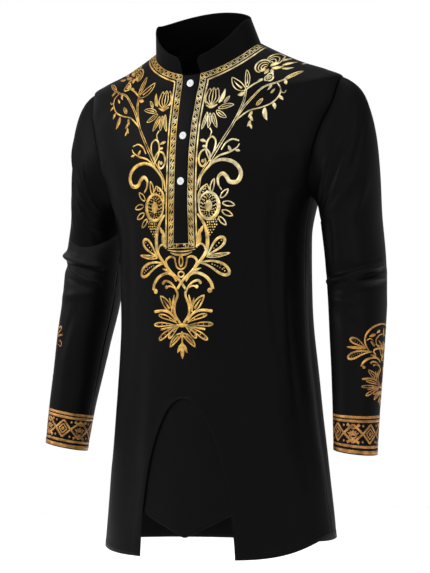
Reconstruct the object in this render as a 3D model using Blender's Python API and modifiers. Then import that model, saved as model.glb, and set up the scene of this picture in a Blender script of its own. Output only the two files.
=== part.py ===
"""A long dashiki shirt, hollow as it is worn.

The cloth is a thin wall. Each cut piece is one object: front, back, front inset, two sleeves,
collar, the two layers of the placket, and three buttons.

The frame: metres, +Z up, +X to the wearer's left, -Y to the front. The origin is where the
wearer's shoulders and neck hold the shirt, level with the high points of the shoulder seams.
"""

import math
from collections import namedtuple
from functools import lru_cache

import bmesh
import bpy
from mathutils import Vector

# Cloth and seams
CLOTH = 0.0014
INTERFACED = 0.0020
SEAM_GAP = 0.0004
SHOULDER_GAP = 0.0012
LAYER_GAP = 0.0004

# The body, ring by ring. A ring is named by its height at the middle of the front, in metres.
# half_width runs to the side, front and back are depths measured from the seam line,
# seam is the seam line's place fore and aft, square is the superellipse power,
# and side and rear are the ring's heights at the seam and at the middle of the back.
Ring = namedtuple("Ring", "height half_width front back seam square side rear")
RINGS = (
    Ring(-0.900, 0.222, 0.124, 0.112, 0.000, 2.10, -0.900, -0.900),
    Ring(-0.760, 0.205, 0.118, 0.110, 0.000, 2.10, -0.760, -0.760),
    Ring(-0.620, 0.188, 0.115, 0.109, 0.000, 2.10, -0.620, -0.620),
    Ring(-0.440, 0.173, 0.112, 0.108, 0.000, 2.15, -0.440, -0.440),
    Ring(-0.330, 0.175, 0.112, 0.112, 0.002, 2.18, -0.330, -0.330),
    Ring(-0.265, 0.188, 0.113, 0.113, 0.005, 2.28, -0.265, -0.263),
    Ring(-0.200, 0.213, 0.112, 0.108, 0.010, 2.38, -0.200, -0.192),
    Ring(-0.140, 0.233, 0.106, 0.099, 0.015, 2.22, -0.132, -0.122),
    Ring(-0.118, 0.242, 0.101, 0.091, 0.017, 2.04, -0.099, -0.095),
    Ring(-0.099, 0.240, 0.096, 0.082, 0.018, 1.92, -0.067, -0.066),
    Ring(-0.087, 0.212, 0.089, 0.073, 0.015, 1.92, -0.053, -0.047),
    Ring(-0.075, 0.168, 0.080, 0.065, 0.011, 2.00, -0.038, -0.028),
    Ring(-0.054, 0.096, 0.058, 0.056, -0.006, 2.20, -0.006, 0.012),
)
TILT_POWER = 1.6
NECK = RINGS[-1].height
SHOULDER_TIP = -0.099
UNDERARM = -0.265

# The armholes, as the angle by which each panel stops short of the side at mid armhole
FRONT_SCOOP = 22.0
BACK_SCOOP = 27.0
SCOOP_POWER = 0.5

# The front hem: level by the cutaway, and rising to each side seam and a little to the back
HEM = -0.860
BACK_RISE = 0.010
LEFT_RISE = 0.034
RIGHT_RISE = 0.012
RISE_POWER = 2.6

# The arched cutaway in the front hem, and the inset that hangs behind it
ARCH_TOP = -0.595
ARCH_HALF = 0.0915
ARCH_ROUND = 0.87
INSET_LAP = 0.014
INSET_TIP = -0.827
INSET_SLOPE = 0.47
INSET_DEPTH = 0.0006

# The placket slit in the front, which is pulled narrower in the middle, and its two layers
SLIT_BOTTOM = -0.337
SLIT_TOP_HALF = 0.0172
SLIT_BOTTOM_HALF = 0.0142
SLIT_PULL = 0.0125
PLACKET_LAP = 0.004

# The stand collar, with its top ring as half width, front, back, seam and heights
COLLAR_TOP = Ring(-0.0280, 0.0875, 0.056, 0.051, -0.021, 2.05, 0.037, 0.058)
COLLAR_CORNER = 0.010
COLLAR_CROWD = 0.10
COLLAR_GAP_HALF = 0.0176

# The buttons on the placket
BUTTON_HEIGHTS = (-0.0693, -0.158, -0.234)
BUTTON_RADIUS = 0.0063
BUTTON_THICK = 0.0026
BUTTON_ROUND = 0.0007
BUTTON_RIM = 0.0012
BUTTON_DISH = 0.0007
HOLE_RADIUS = 0.0007
HOLE_SPREAD = 0.0013

# The sleeves: the axis of the wearer's left one, and its half sizes across and fore and aft.
# out and back tilt each ring of the left arm, in metres of height per metre outward and
# backward, and right_out and right_back those of the right arm, which hangs otherwise.
Cuff = namedtuple("Cuff", "height x y across deep out back right_out right_back")
SLEEVE = (
    Cuff(-0.310, 0.2475, 0.030, 0.0465, 0.068, 0.10, -0.02, 0.10, -0.02),
    Cuff(-0.370, 0.2560, 0.024, 0.0460, 0.066, 0.08, -0.02, 0.08, -0.02),
    Cuff(-0.430, 0.2615, 0.017, 0.0450, 0.063, 0.07, -0.06, 0.07, -0.06),
    Cuff(-0.500, 0.2680, 0.000, 0.0425, 0.056, 0.06, -0.10, 0.06, -0.10),
    Cuff(-0.560, 0.2730, -0.014, 0.0400, 0.049, 0.03, -0.06, 0.12, -0.08),
    Cuff(-0.620, 0.2775, -0.029, 0.0370, 0.044, -0.07, 0.00, 0.20, -0.07),
    Cuff(-0.683, 0.2810, -0.042, 0.0340, 0.041, -0.16, -0.02, 0.22, -0.09),
)
SLEEVE_START = SLEEVE[0].height
SLEEVE_END = SLEEVE[-1].height
HEAD_LIFT = 0.95
HEAD_DROP = 0.90
LEAVE_UNDER = Vector((0.75, 0.00, -0.60))
LEAVE_TOP = Vector((0.92, 0.08, -0.30))
LEAVE_FRONT = Vector((0.80, -0.12, -0.20))
LEAVE_BACK = Vector((0.80, 0.28, -0.20))

# Folds: a soft ridge, or a trough where high is negative, between two points near the cloth
Fold = namedtuple("Fold", "across1 up1 across2 up2 wide high")
BODY_FOLDS = (
    Fold(46, -0.30, 52, -0.80, 0.030, 0.0045),
    Fold(30, -0.36, 33, -0.84, 0.026, -0.0035),
    Fold(-48, -0.34, -56, -0.82, 0.028, 0.0040),
    Fold(72, -0.38, 78, -0.80, 0.024, -0.0030),
    Fold(-30, -0.40, -36, -0.84, 0.024, -0.0030),
    Fold(150, -0.30, 146, -0.82, 0.032, -0.0050),
    Fold(206, -0.28, 212, -0.80, 0.034, 0.0050),
    Fold(240, -0.34, 246, -0.83, 0.026, -0.0040),
    Fold(118, -0.36, 112, -0.80, 0.028, 0.0040),
)
LEFT_SLEEVE_FOLDS = (
    Fold(0.13, 1.255, 0.32, 1.250, 0.0075, 0.0050),
    Fold(0.28, 1.245, 0.52, 1.195, 0.0075, 0.0060),
    Fold(0.32, 1.275, 0.54, 1.245, 0.0070, 0.0045),
    Fold(0.14, 1.215, 0.36, 1.210, 0.0090, -0.0040),
    Fold(0.12, 1.295, 0.34, 1.310, 0.0100, -0.0035),
    Fold(0.36, 0.34, 0.10, 0.88, 0.0100, -0.0060),
    Fold(0.28, 0.46, 0.14, 0.84, 0.0100, 0.0035),
    Fold(0.38, 0.62, 0.26, 0.86, 0.0110, 0.0035),
    Fold(0.74, 0.36, 0.90, 0.88, 0.0120, -0.0050),
    Fold(0.62, 1.22, 0.92, 1.30, 0.0100, 0.0045),
    Fold(0.60, 1.31, 0.84, 1.36, 0.0110, -0.0035),
)
RIGHT_SLEEVE_FOLDS = (
    Fold(0.10, 1.165, 0.46, 1.105, 0.0075, 0.0060),
    Fold(0.10, 1.245, 0.33, 1.165, 0.0080, 0.0045),
    Fold(0.16, 1.205, 0.44, 1.155, 0.0080, -0.0045),
    Fold(0.42, 1.060, 0.56, 1.085, 0.0090, 0.0030),
    Fold(0.42, 0.48, 0.18, 0.80, 0.0100, -0.0055),
    Fold(0.40, 0.38, 0.24, 0.62, 0.0100, 0.0035),
    Fold(0.76, 0.34, 0.90, 0.86, 0.0120, -0.0050),
    Fold(0.60, 1.14, 0.90, 1.25, 0.0100, 0.0045),
    Fold(0.64, 1.24, 0.86, 1.33, 0.0110, -0.0035),
)
BODY_GIRTH = 0.97
SLEEVE_GIRTH = 0.36
SLEEVE_REACH = 0.38

# How finely the cloth is drawn
FRONT_COLUMNS = 14
BACK_COLUMNS = 22
ARCH_ROWS = 8
WAIST_ROWS = 9
CHEST_ROWS = 3
ARMHOLE_ROWS = 10
YOKE_ROWS = 5
HEAD_ROWS = 9
SLEEVE_ROWS = 18
COLLAR_COLUMNS = 38
COLLAR_ROWS = 5
INSET_COLUMNS = 12
INSET_ROWS = 12
PLACKET_ROWS = 16

# Colours
BLACK = (0.012, 0.012, 0.014, 1.0)
PEARL = (0.86, 0.87, 0.90, 1.0)


# Tables

def read_table(rows, height, column):
    """One column of a table at this height, on a smooth curve with no overshoot."""
    values = [getattr(row, column) for row in rows]
    heights = [row.height for row in rows]
    rising = heights[-1] > heights[0]
    order = range(len(rows)) if rising else range(len(rows) - 1, -1, -1)
    xs = [heights[i] for i in order]
    ys = [values[i] for i in order]
    height = min(max(height, xs[0]), xs[-1])
    k = max(i for i in range(len(xs) - 1) if xs[i] <= height or i == 0)
    slopes = [(ys[i + 1] - ys[i]) / (xs[i + 1] - xs[i]) for i in range(len(xs) - 1)]
    step = xs[k + 1] - xs[k]
    along = (height - xs[k]) / step
    start = knot_slope(slopes, k) * step
    end = knot_slope(slopes, k + 1) * step
    rise = ys[k + 1] - ys[k]
    bend = (3 * rise - 2 * start - end) * along**2 + (start + end - 2 * rise) * along**3
    return ys[k] + start * along + bend


def knot_slope(slopes, k):
    """The slope at a knot: the harmonic mean of its neighbours, or none where they turn."""
    if k == 0 or k == len(slopes):
        return slopes[min(k, len(slopes) - 1)]
    before, after = slopes[k - 1], slopes[k]
    if before * after <= 0:
        return 0.0
    return 2 * before * after / (before + after)


# The body's surface

@lru_cache(maxsize=None)
def ring_at(height):
    """The body's ring at this height at the middle of the front."""
    rest = (read_table(RINGS, height, name) for name in Ring._fields[1:])
    return Ring(height, *rest)


def ring_point(ring, angle):
    """A point of a ring: angle 0 is the middle of the front, 90 degrees the wearer's left side."""
    sine, cosine = math.sin(angle), math.cos(angle)
    swell = (abs(sine) ** ring.square + abs(cosine) ** ring.square) ** (-1 / ring.square)
    deep = ring.front if cosine > 0 else ring.back
    end = ring.height if cosine > 0 else ring.rear
    return Vector((
        ring.half_width * swell * sine,
        ring.seam - deep * swell * cosine,
        ring.side + (end - ring.side) * abs(cosine) ** TILT_POWER,
    ))


def angle_across(ring, across):
    """The angle on the front at which a ring is this far to the side of the middle."""
    sine = across / ring.half_width
    for _ in range(4):
        cosine = math.sqrt(max(1 - sine**2, 0.0))
        swell = (abs(sine) ** ring.square + cosine**ring.square) ** (-1 / ring.square)
        sine = across / (ring.half_width * swell)
    return math.asin(min(sine, 1.0))


def fold_height(across, up, folds, girth, around, reach):
    """How far the folds lift the cloth at this place. girth and reach turn places into metres."""
    lift = 0.0
    for fold in folds:
        turn = (across - fold.across1 + around / 2) % around - around / 2
        place = Vector((turn * girth / around, (up - fold.up1) * reach))
        run = Vector(((fold.across2 - fold.across1) * girth / around, (fold.up2 - fold.up1) * reach))
        along = place.dot(run) / run.length_squared
        beside = (place - run * min(max(along, 0.0), 1.0)).length / fold.wide
        if beside < 2.5:
            fade = math.sin(math.pi * min(max(0.08 + 0.84 * along, 0.0), 1.0))
            lift += fold.high * fade * math.exp(-(beside**2))
    return lift


def surface_normal(surface, across, up, step=0.004):
    """The outward direction of a surface, from its neighbours."""
    right = surface(across + step, up) - surface(across - step, up)
    above = surface(across, up + step / 4) - surface(across, up - step / 4)
    return right.cross(above).normalized()


def body_plain(angle, height):
    return ring_point(ring_at(height), angle)


def body_point(angle, height, out=0.0):
    """A point of the body's cloth, folds included, moved out by this much."""
    point = body_plain(angle, height)
    normal = surface_normal(body_plain, angle, min(height, NECK - 0.001))
    folds = fold_height(math.degrees(angle), height, BODY_FOLDS, BODY_GIRTH, 360, 1.0)
    return point + normal * (out + folds)


def hem_height(angle):
    """The hem's height around the body: level in front, rising to the side seams."""
    sine, cosine = math.sin(angle), math.cos(angle)
    rise = LEFT_RISE if sine > 0 else RIGHT_RISE
    back = BACK_RISE if cosine < 0 else 0.0
    return HEM + back + (rise - back) * abs(sine) ** (2 * RISE_POWER)


def scoop(height, depth):
    """The angle by which a panel stops short of the side, along the armhole."""
    along = (height - UNDERARM) / (SHOULDER_TIP - UNDERARM)
    if not 0 < along < 1:
        return 0.0
    return math.radians(depth) * math.sin(math.pi * along) ** SCOOP_POWER


def seam_angle(height, deep, depth):
    """Where a panel ends at the side: at the seam, less half its gap, or at the armhole.

    The shoulder seam runs along a ridge, so its gap is wider outside than in.
    """
    gap = SHOULDER_GAP if height >= SHOULDER_TIP else SEAM_GAP
    return math.pi / 2 - math.asin(gap / 2 / deep) - scoop(height, depth)


def armhole_heights():
    """Ring heights up the armhole, at even steps of its own curve."""
    return [
        UNDERARM + (SHOULDER_TIP - UNDERARM) * (1 - math.cos(math.pi * k / ARMHOLE_ROWS)) / 2
        for k in range(ARMHOLE_ROWS + 1)
    ]


def spaced(start, end, count):
    """Evenly spaced values after start, up to end."""
    return [start + (end - start) * (k + 1) / count for k in range(count)]


# Building meshes

def make_cloth(name, points, faces, thickness, material):
    """An object from an open surface, with its wall added inwards."""
    mesh = bpy.data.meshes.new(name)
    mesh.from_pydata([tuple(p) for p in points], [], faces)
    mesh.update()
    mesh.shade_smooth()
    cloth = bpy.data.objects.new(name, mesh)
    wall = cloth.modifiers.new("wall", "SOLIDIFY")
    wall.thickness = thickness
    wall.offset = -1
    mesh.materials.append(material)
    shirt.objects.link(cloth)
    return cloth


def grid_faces(rows, columns, closed=False):
    """Faces between rows of points, facing out when columns run to the left and rows run up."""
    faces = []
    for row in range(rows - 1):
        for column in range(columns if closed else columns - 1):
            beside = (column + 1) % columns
            low, high = row * columns, (row + 1) * columns
            faces.append((low + column, low + beside, high + beside, high + column))
    return faces


def make_material(name, colour, roughness):
    material = bpy.data.materials.new(name)
    material.use_nodes = True
    shader = material.node_tree.nodes["Principled BSDF"]
    shader.inputs["Base Color"].default_value = colour
    shader.inputs["Roughness"].default_value = roughness
    shader.inputs["Metallic"].default_value = 0.0
    return material


# The front

def arch_half(height):
    """Half the width of the cutaway at this height."""
    depth = (ARCH_TOP - height) / (ARCH_TOP - HEM)
    round_part = math.sqrt(max(1 - (1 - depth) ** 2, 0.0))
    return ARCH_HALF * (ARCH_ROUND * round_part + (1 - ARCH_ROUND) * depth)


def slit_half(height):
    """Half the width of the placket slit at this height."""
    along = (height - SLIT_BOTTOM) / (NECK - SLIT_BOTTOM)
    straight = SLIT_BOTTOM_HALF + (SLIT_TOP_HALF - SLIT_BOTTOM_HALF) * along
    return straight - SLIT_PULL * along * (1 - along)


def front_row(height, drop, side):
    """One row of half the front, from the middle or the cutaway to the side, as points.

    drop is how far the row goes from the top of the cutaway, 0, to the hem, 1.
    """
    ring = ring_at(height)
    inner = angle_across(ring, arch_half(height)) if drop > 0 else 0.0
    outer = seam_angle(height, ring.front, FRONT_SCOOP)
    first = angle_across(ring, slit_half(max(height, SLIT_BOTTOM)))
    points = []
    for column in range(FRONT_COLUMNS + 1):
        if column == 0:
            angle = inner
        elif drop > 0:
            angle = inner + (outer - inner) * column / FRONT_COLUMNS
        else:
            angle = first + (outer - first) * (column - 1) / (FRONT_COLUMNS - 1)
        level = height + drop * (hem_height(side * angle) - HEM)
        points.append(body_point(side * angle, level))
    return points


def front_levels():
    """The rows of the front as height and drop, from the hem to the neck."""
    depths = [1 - k / ARCH_ROWS for k in range(ARCH_ROWS)]
    rows = [(ARCH_TOP - (ARCH_TOP - HEM) * d**2, d**2) for d in depths]
    rows.append((ARCH_TOP, 0.0))
    rows += [(h, 0.0) for h in spaced(ARCH_TOP, SLIT_BOTTOM, WAIST_ROWS)]
    rows += [(h, 0.0) for h in spaced(SLIT_BOTTOM, UNDERARM, CHEST_ROWS)]
    rows += [(h, 0.0) for h in armhole_heights()[1:]]
    rows += [(h, 0.0) for h in spaced(SHOULDER_TIP, NECK, YOKE_ROWS)]
    return rows


def make_front(material):
    """The front panel: open at the slit above, cut away in an arch below."""
    rows = front_levels()
    slit_row = ARCH_ROWS + WAIST_ROWS
    points, faces, index = [], [], {}
    for row, (height, drop) in enumerate(rows):
        for side in (1, -1):
            for column, point in enumerate(front_row(height, drop, side)):
                shared = column == 0 and side == -1 and ARCH_ROWS <= row
                if shared:
                    index[row, side, column] = index[row, 1, 0]
                else:
                    index[row, side, column] = len(points)
                    points.append(point)
    for row in range(len(rows) - 1):
        for column in range(1 if row >= slit_row else 0, FRONT_COLUMNS):
            for side in (1, -1):
                corners = [(row, column), (row, column + 1), (row + 1, column + 1), (row + 1, column)]
                face = [index[r, side, c] for r, c in corners]
                faces.append(face if side == 1 else face[::-1])
    used = sorted({i for face in faces for i in face})
    place = {old: new for new, old in enumerate(used)}
    faces = [[place[i] for i in face] for face in faces]
    return make_cloth("front", [points[i] for i in used], faces, CLOTH, material)


# The back

def make_back(material):
    """The back panel, from its hem to the neck, between the side and shoulder seams."""
    levels = [(HEM + (ARCH_TOP - HEM) * k / 5, 1 - k / 5) for k in range(5)]
    levels.append((ARCH_TOP, 0.0))
    levels += [(h, 0.0) for h in spaced(ARCH_TOP, UNDERARM, 9)]
    levels += [(h, 0.0) for h in armhole_heights()[1:]]
    levels += [(h, 0.0) for h in spaced(SHOULDER_TIP, NECK, YOKE_ROWS)]
    points = []
    for height, drop in levels:
        edge = math.pi - seam_angle(height, ring_at(height).back, BACK_SCOOP)
        for column in range(BACK_COLUMNS + 1):
            angle = edge + (2 * math.pi - 2 * edge) * column / BACK_COLUMNS
            level = height + drop * (hem_height(angle) - HEM)
            points.append(body_point(angle, level))
    faces = grid_faces(len(levels), BACK_COLUMNS + 1)
    return make_cloth("back", points, faces, CLOTH, material)


# The front inset

def make_inset(material):
    """The inset behind the cutaway, with its pointed hem and a lap behind the front."""
    points = []
    for row in range(INSET_ROWS + 1):
        up = row / INSET_ROWS
        for column in range(INSET_COLUMNS + 1):
            across = 2 * column / INSET_COLUMNS - 1
            reach = ARCH_HALF + INSET_LAP
            top = ARCH_TOP + INSET_LAP - 0.05 * across**2
            bottom = INSET_TIP + INSET_SLOPE * math.sqrt((across * reach) ** 2 + 0.004**2)
            height = bottom + (top - bottom) * up
            width = min(reach, arch_half(min(height - 0.004, ARCH_TOP - 0.002)) + 2 * INSET_LAP)
            ring = ring_at(height)
            angle = math.copysign(angle_across(ring, abs(across) * width), across)
            points.append(body_point(angle, height, -(CLOTH + LAYER_GAP + INSET_DEPTH)))
    faces = grid_faces(INSET_ROWS + 1, INSET_COLUMNS + 1)
    return make_cloth("front_inset", points, faces, CLOTH, material)


# The placket

def make_placket(name, extra, depth, bottom, thickness, material):
    """One layer of the placket: a strip as wide as the slit plus extra, this far inside."""
    points = []
    top = NECK - 0.0004
    for row in range(PLACKET_ROWS + 1):
        height = bottom + (top - bottom) * row / PLACKET_ROWS
        ring = ring_at(height)
        for column in range(5):
            across = (slit_half(height) + extra) * (column / 2 - 1)
            angle = math.copysign(angle_across(ring, abs(across)), across)
            points.append(body_point(angle, height, -depth))
    return make_cloth(name, points, grid_faces(PLACKET_ROWS + 1, 5), thickness, material)


# The collar

def collar_point(angle, up):
    """A point of the collar, from the neck seam, 0, to its top edge, 1."""
    low = ring_point(ring_at(NECK), angle)
    high = ring_point(COLLAR_TOP, angle)
    return low.lerp(high, up)


def make_collar(material):
    """The stand collar: a band with an open front and rounded upper corners."""
    start = angle_across(ring_at(NECK), COLLAR_GAP_HALF)
    tall = (collar_point(start, 1) - collar_point(start, 0)).length
    points = []
    around = []
    for column in range(COLLAR_COLUMNS + 1):
        share = column / COLLAR_COLUMNS
        eased = share - COLLAR_CROWD * math.sin(2 * math.pi * share)
        around.append(start + (2 * math.pi - 2 * start) * eased)
    for row in range(COLLAR_ROWS + 1):
        up = (SEAM_GAP / tall) + (1 - SEAM_GAP / tall) * row / COLLAR_ROWS
        for angle in around:
            from_end = min(angle - start, 2 * math.pi - start - angle) * COLLAR_TOP.half_width
            inside = max(COLLAR_CORNER - from_end, 0.0)
            cut = COLLAR_CORNER - math.sqrt(max(COLLAR_CORNER**2 - inside**2, 0.0))
            points.append(collar_point(angle, up * (1 - cut / tall)))
    faces = grid_faces(COLLAR_ROWS + 1, COLLAR_COLUMNS + 1)
    return make_cloth("collar", points, faces, INTERFACED, material)


# The sleeves

def armhole_point(turn):
    """The armhole's edge: turn 0 is the underarm, 0.5 the shoulder tip, front side first."""
    share = turn * 2 if turn <= 0.5 else 2 - turn * 2
    height = UNDERARM + (SHOULDER_TIP - UNDERARM) * (1 - math.cos(math.pi * share)) / 2
    if turn <= 0.5:
        angle = math.pi / 2 - scoop(height, FRONT_SCOOP)
    else:
        angle = math.pi / 2 + scoop(height, BACK_SCOOP)
    return angle, height


def sleeve_ring_point(turn, height, side):
    """A point of the sleeve below its head, without folds."""
    row = Cuff(height, *(read_table(SLEEVE, height, name) for name in Cuff._fields[1:]))
    around = 2 * math.pi * turn
    out = -row.across * math.cos(around)
    back = -row.deep * math.sin(around)
    tilts = (row.out, row.back) if side == 1 else (row.right_out, row.right_back)
    level = height + tilts[0] * out + tilts[1] * back
    return Vector((row.x + out, row.y + back, level))


def leaving_direction(turn):
    """The way that the sleeve leaves the armhole's edge, from under the arm round to its top."""
    around = 2 * math.pi * turn
    top = (1 - math.cos(around)) / 2
    sideways = LEAVE_FRONT if turn < 0.5 else LEAVE_BACK
    middle = abs(math.sin(around))
    way = LEAVE_UNDER.lerp(LEAVE_TOP, top)
    return way.lerp(sideways, middle).normalized()


def sleeve_plain(turn, along, side):
    """A point of the sleeve: along 0 to 1 is its head, and 1 to 2 the rest down to the wrist."""
    if along >= 1:
        height = SLEEVE_START + (SLEEVE_END - SLEEVE_START) * (along - 1)
        return sleeve_ring_point(turn, height, side)
    leave = leaving_direction(turn)
    start = body_point(*armhole_point(turn)) + leave * SEAM_GAP
    end = sleeve_ring_point(turn, SLEEVE_START, side)
    below = sleeve_ring_point(turn, SLEEVE_START - 0.01, side)
    arrive = (below - end).normalized()
    reach = (end - start).length
    first = leave * reach * HEAD_LIFT
    last = arrive * reach * HEAD_DROP
    square, cube = along**2, along**3
    return (
        start * (2 * cube - 3 * square + 1)
        + first * (cube - 2 * square + along)
        + end * (3 * square - 2 * cube)
        + last * (cube - square)
    )


def sleeve_point(turn, along, folds, side):
    """A point of the sleeve's cloth, folds included."""
    point = sleeve_plain(turn, along, side)
    if along < 0.02:
        return point
    after, before = (turn + 0.01) % 1.0, (turn - 0.01) % 1.0
    right = sleeve_plain(after, along, side) - sleeve_plain(before, along, side)
    lower = sleeve_plain(turn, min(along + 0.01, 2.0), side)
    down = lower - sleeve_plain(turn, along - 0.01, side)
    normal = down.cross(right).normalized()
    lift = fold_height(turn, along, folds, SLEEVE_GIRTH, 1, SLEEVE_REACH)
    return point + normal * lift


def make_sleeve(name, side, folds, material):
    """One sleeve: a tube from the armhole to the wrist. side is 1 for the wearer's left."""
    columns = 2 * ARMHOLE_ROWS
    steps = [k / HEAD_ROWS for k in range(HEAD_ROWS)]
    steps += [1 + k / SLEEVE_ROWS for k in range(SLEEVE_ROWS + 1)]
    points = []
    for along in reversed(steps):
        for column in range(columns):
            turn = column / columns if side == 1 else (-column / columns) % 1.0
            point = sleeve_point(turn, along, folds, side)
            points.append((side * point.x, point.y, point.z))
    faces = grid_faces(len(steps), columns, closed=True)
    return make_cloth(name, points, faces, CLOTH, material)


# The buttons

def make_button_disc(name, material):
    """A round button lying on the floor plane: a turned disc with a raised rim."""
    outline = (
        (0.0, BUTTON_THICK - BUTTON_DISH),
        (BUTTON_RADIUS - 2.2 * BUTTON_RIM, BUTTON_THICK - BUTTON_DISH),
        (BUTTON_RADIUS - 1.4 * BUTTON_RIM, BUTTON_THICK),
        (BUTTON_RADIUS - BUTTON_ROUND, BUTTON_THICK),
        (BUTTON_RADIUS, BUTTON_THICK - BUTTON_ROUND),
        (BUTTON_RADIUS, BUTTON_ROUND),
        (BUTTON_RADIUS - BUTTON_ROUND, 0.0),
        (0.0, 0.0),
    )
    mesh = bpy.data.meshes.new(name)
    edges = [(i, i + 1) for i in range(len(outline) - 1)]
    mesh.from_pydata([(x, 0.0, z) for x, z in outline], edges, [])
    mesh.materials.append(material)
    disc = bpy.data.objects.new(name, mesh)
    turn = disc.modifiers.new("turn", "SCREW")
    turn.steps = turn.render_steps = 24
    turn.use_merge_vertices = True
    turn.merge_threshold = 0.00001
    return disc


def make_hole_cutter(name):
    """Four upright pins that cut the button's holes."""
    pins = bmesh.new()
    for x, y in ((1, 1), (1, -1), (-1, 1), (-1, -1)):
        made = bmesh.ops.create_cone(
            pins, cap_ends=True, segments=8, radius1=HOLE_RADIUS, radius2=HOLE_RADIUS, depth=0.02
        )
        bmesh.ops.translate(pins, vec=(x * HOLE_SPREAD, y * HOLE_SPREAD, 0), verts=made["verts"])
    mesh = bpy.data.meshes.new(name)
    pins.to_mesh(mesh)
    pins.free()
    cutter = bpy.data.objects.new(name, mesh)
    cutter.hide_render = True
    cutter.display_type = "WIRE"
    return cutter


def make_button(name, height, material):
    """A button with four holes, just off the placket and square to it."""
    place = bpy.data.objects.new(f"{name}_place", None)
    place.location = body_point(0.0, height, SEAM_GAP)
    place.rotation_mode = "QUATERNION"
    place.rotation_quaternion = surface_normal(body_plain, 0.0, height).to_track_quat("Z", "Y")
    disc = make_button_disc(name, material)
    cutter = make_hole_cutter(f"{name}_holes")
    holes = disc.modifiers.new("holes", "BOOLEAN")
    holes.operation = "DIFFERENCE"
    holes.object = cutter
    shirt.objects.link(place)
    shirt.objects.link(disc)
    cutters.objects.link(cutter)
    disc.parent = cutter.parent = place


# Putting the shirt together

for old in list(bpy.data.objects):
    bpy.data.objects.remove(old)
shirt = bpy.data.collections.new("dashiki_shirt")
cutters = bpy.data.collections.new("cutters")
bpy.context.scene.collection.children.link(shirt)
bpy.context.scene.collection.children.link(cutters)

black_cloth = make_material("black_cloth", BLACK, 0.6)
pearl = make_material("pearl_white", PEARL, 0.25)

make_front(black_cloth)
make_back(black_cloth)
make_inset(black_cloth)
make_placket("placket_over", -SEAM_GAP, 0.0, SLIT_BOTTOM + SEAM_GAP, CLOTH, black_cloth)
make_placket("placket_under", PLACKET_LAP, CLOTH + LAYER_GAP, SLIT_BOTTOM - 0.012, CLOTH, black_cloth)
make_collar(black_cloth)
make_sleeve("sleeve_left", 1, LEFT_SLEEVE_FOLDS, black_cloth)
make_sleeve("sleeve_right", -1, RIGHT_SLEEVE_FOLDS, black_cloth)
for number, level in enumerate(BUTTON_HEIGHTS, start=1):
    make_button(f"button_{number}", level, pearl)
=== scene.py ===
# %% [markdown]
# # A long dashiki shirt, worn but empty
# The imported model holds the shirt's true size and its plain rigid walls. This lesson dresses
# those walls: thin cloth with folds, a gold foil print, stitches, thread and shirt buttons.
# Everything is in metres, +X is the wearer's left, -Y the front and +Z up.

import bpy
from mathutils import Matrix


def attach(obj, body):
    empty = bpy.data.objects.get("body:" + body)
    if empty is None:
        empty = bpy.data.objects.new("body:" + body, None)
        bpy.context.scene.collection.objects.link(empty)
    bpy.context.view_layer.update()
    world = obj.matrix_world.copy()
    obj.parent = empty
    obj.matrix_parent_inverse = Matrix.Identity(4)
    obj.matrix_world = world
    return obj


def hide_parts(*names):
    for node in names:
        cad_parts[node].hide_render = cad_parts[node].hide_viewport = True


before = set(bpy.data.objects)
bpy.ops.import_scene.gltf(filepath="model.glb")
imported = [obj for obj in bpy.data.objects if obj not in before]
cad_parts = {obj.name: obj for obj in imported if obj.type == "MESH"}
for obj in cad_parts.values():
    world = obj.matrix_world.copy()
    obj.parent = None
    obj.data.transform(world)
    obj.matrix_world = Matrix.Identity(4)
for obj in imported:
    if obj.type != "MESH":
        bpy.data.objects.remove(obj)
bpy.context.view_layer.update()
print("nodes to dress:", sorted(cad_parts))

# %% Modules
import math
from collections import namedtuple

import bmesh
import bpy
import numpy as np
from mathutils import Matrix, Vector
from mathutils.bvhtree import BVHTree

# %% [markdown]
# ## The body's surface
# A pattern cutter measures a body at a few heights and lets the cloth run smoothly between.
# The table does the same: each ring has a half width and two depths, and a curve with no
# overshoot joins them. The numbers are the ones that the rigid walls were made from, so the
# cloth lies exactly on them. Numpy works out thousands of points in one go.

# %% Rings of the body
Ring = namedtuple("Ring", "height half_width front back seam square side rear")
RINGS = (
    Ring(-0.900, 0.222, 0.124, 0.112, 0.000, 2.10, -0.900, -0.900),
    Ring(-0.760, 0.205, 0.118, 0.110, 0.000, 2.10, -0.760, -0.760),
    Ring(-0.620, 0.188, 0.115, 0.109, 0.000, 2.10, -0.620, -0.620),
    Ring(-0.440, 0.173, 0.112, 0.108, 0.000, 2.15, -0.440, -0.440),
    Ring(-0.330, 0.175, 0.112, 0.112, 0.002, 2.18, -0.330, -0.330),
    Ring(-0.265, 0.188, 0.113, 0.113, 0.005, 2.28, -0.265, -0.263),
    Ring(-0.200, 0.213, 0.112, 0.108, 0.010, 2.38, -0.200, -0.192),
    Ring(-0.140, 0.233, 0.106, 0.099, 0.015, 2.22, -0.132, -0.122),
    Ring(-0.118, 0.242, 0.101, 0.091, 0.017, 2.04, -0.099, -0.095),
    Ring(-0.099, 0.240, 0.096, 0.082, 0.018, 1.92, -0.067, -0.066),
    Ring(-0.087, 0.212, 0.089, 0.073, 0.015, 1.92, -0.053, -0.047),
    Ring(-0.075, 0.168, 0.080, 0.065, 0.011, 2.00, -0.038, -0.028),
    Ring(-0.054, 0.096, 0.058, 0.056, -0.006, 2.20, -0.006, 0.012),
)
TILT_POWER = 1.6
NECK, SHOULDER_TIP, UNDERARM = -0.054, -0.099, -0.265


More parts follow.
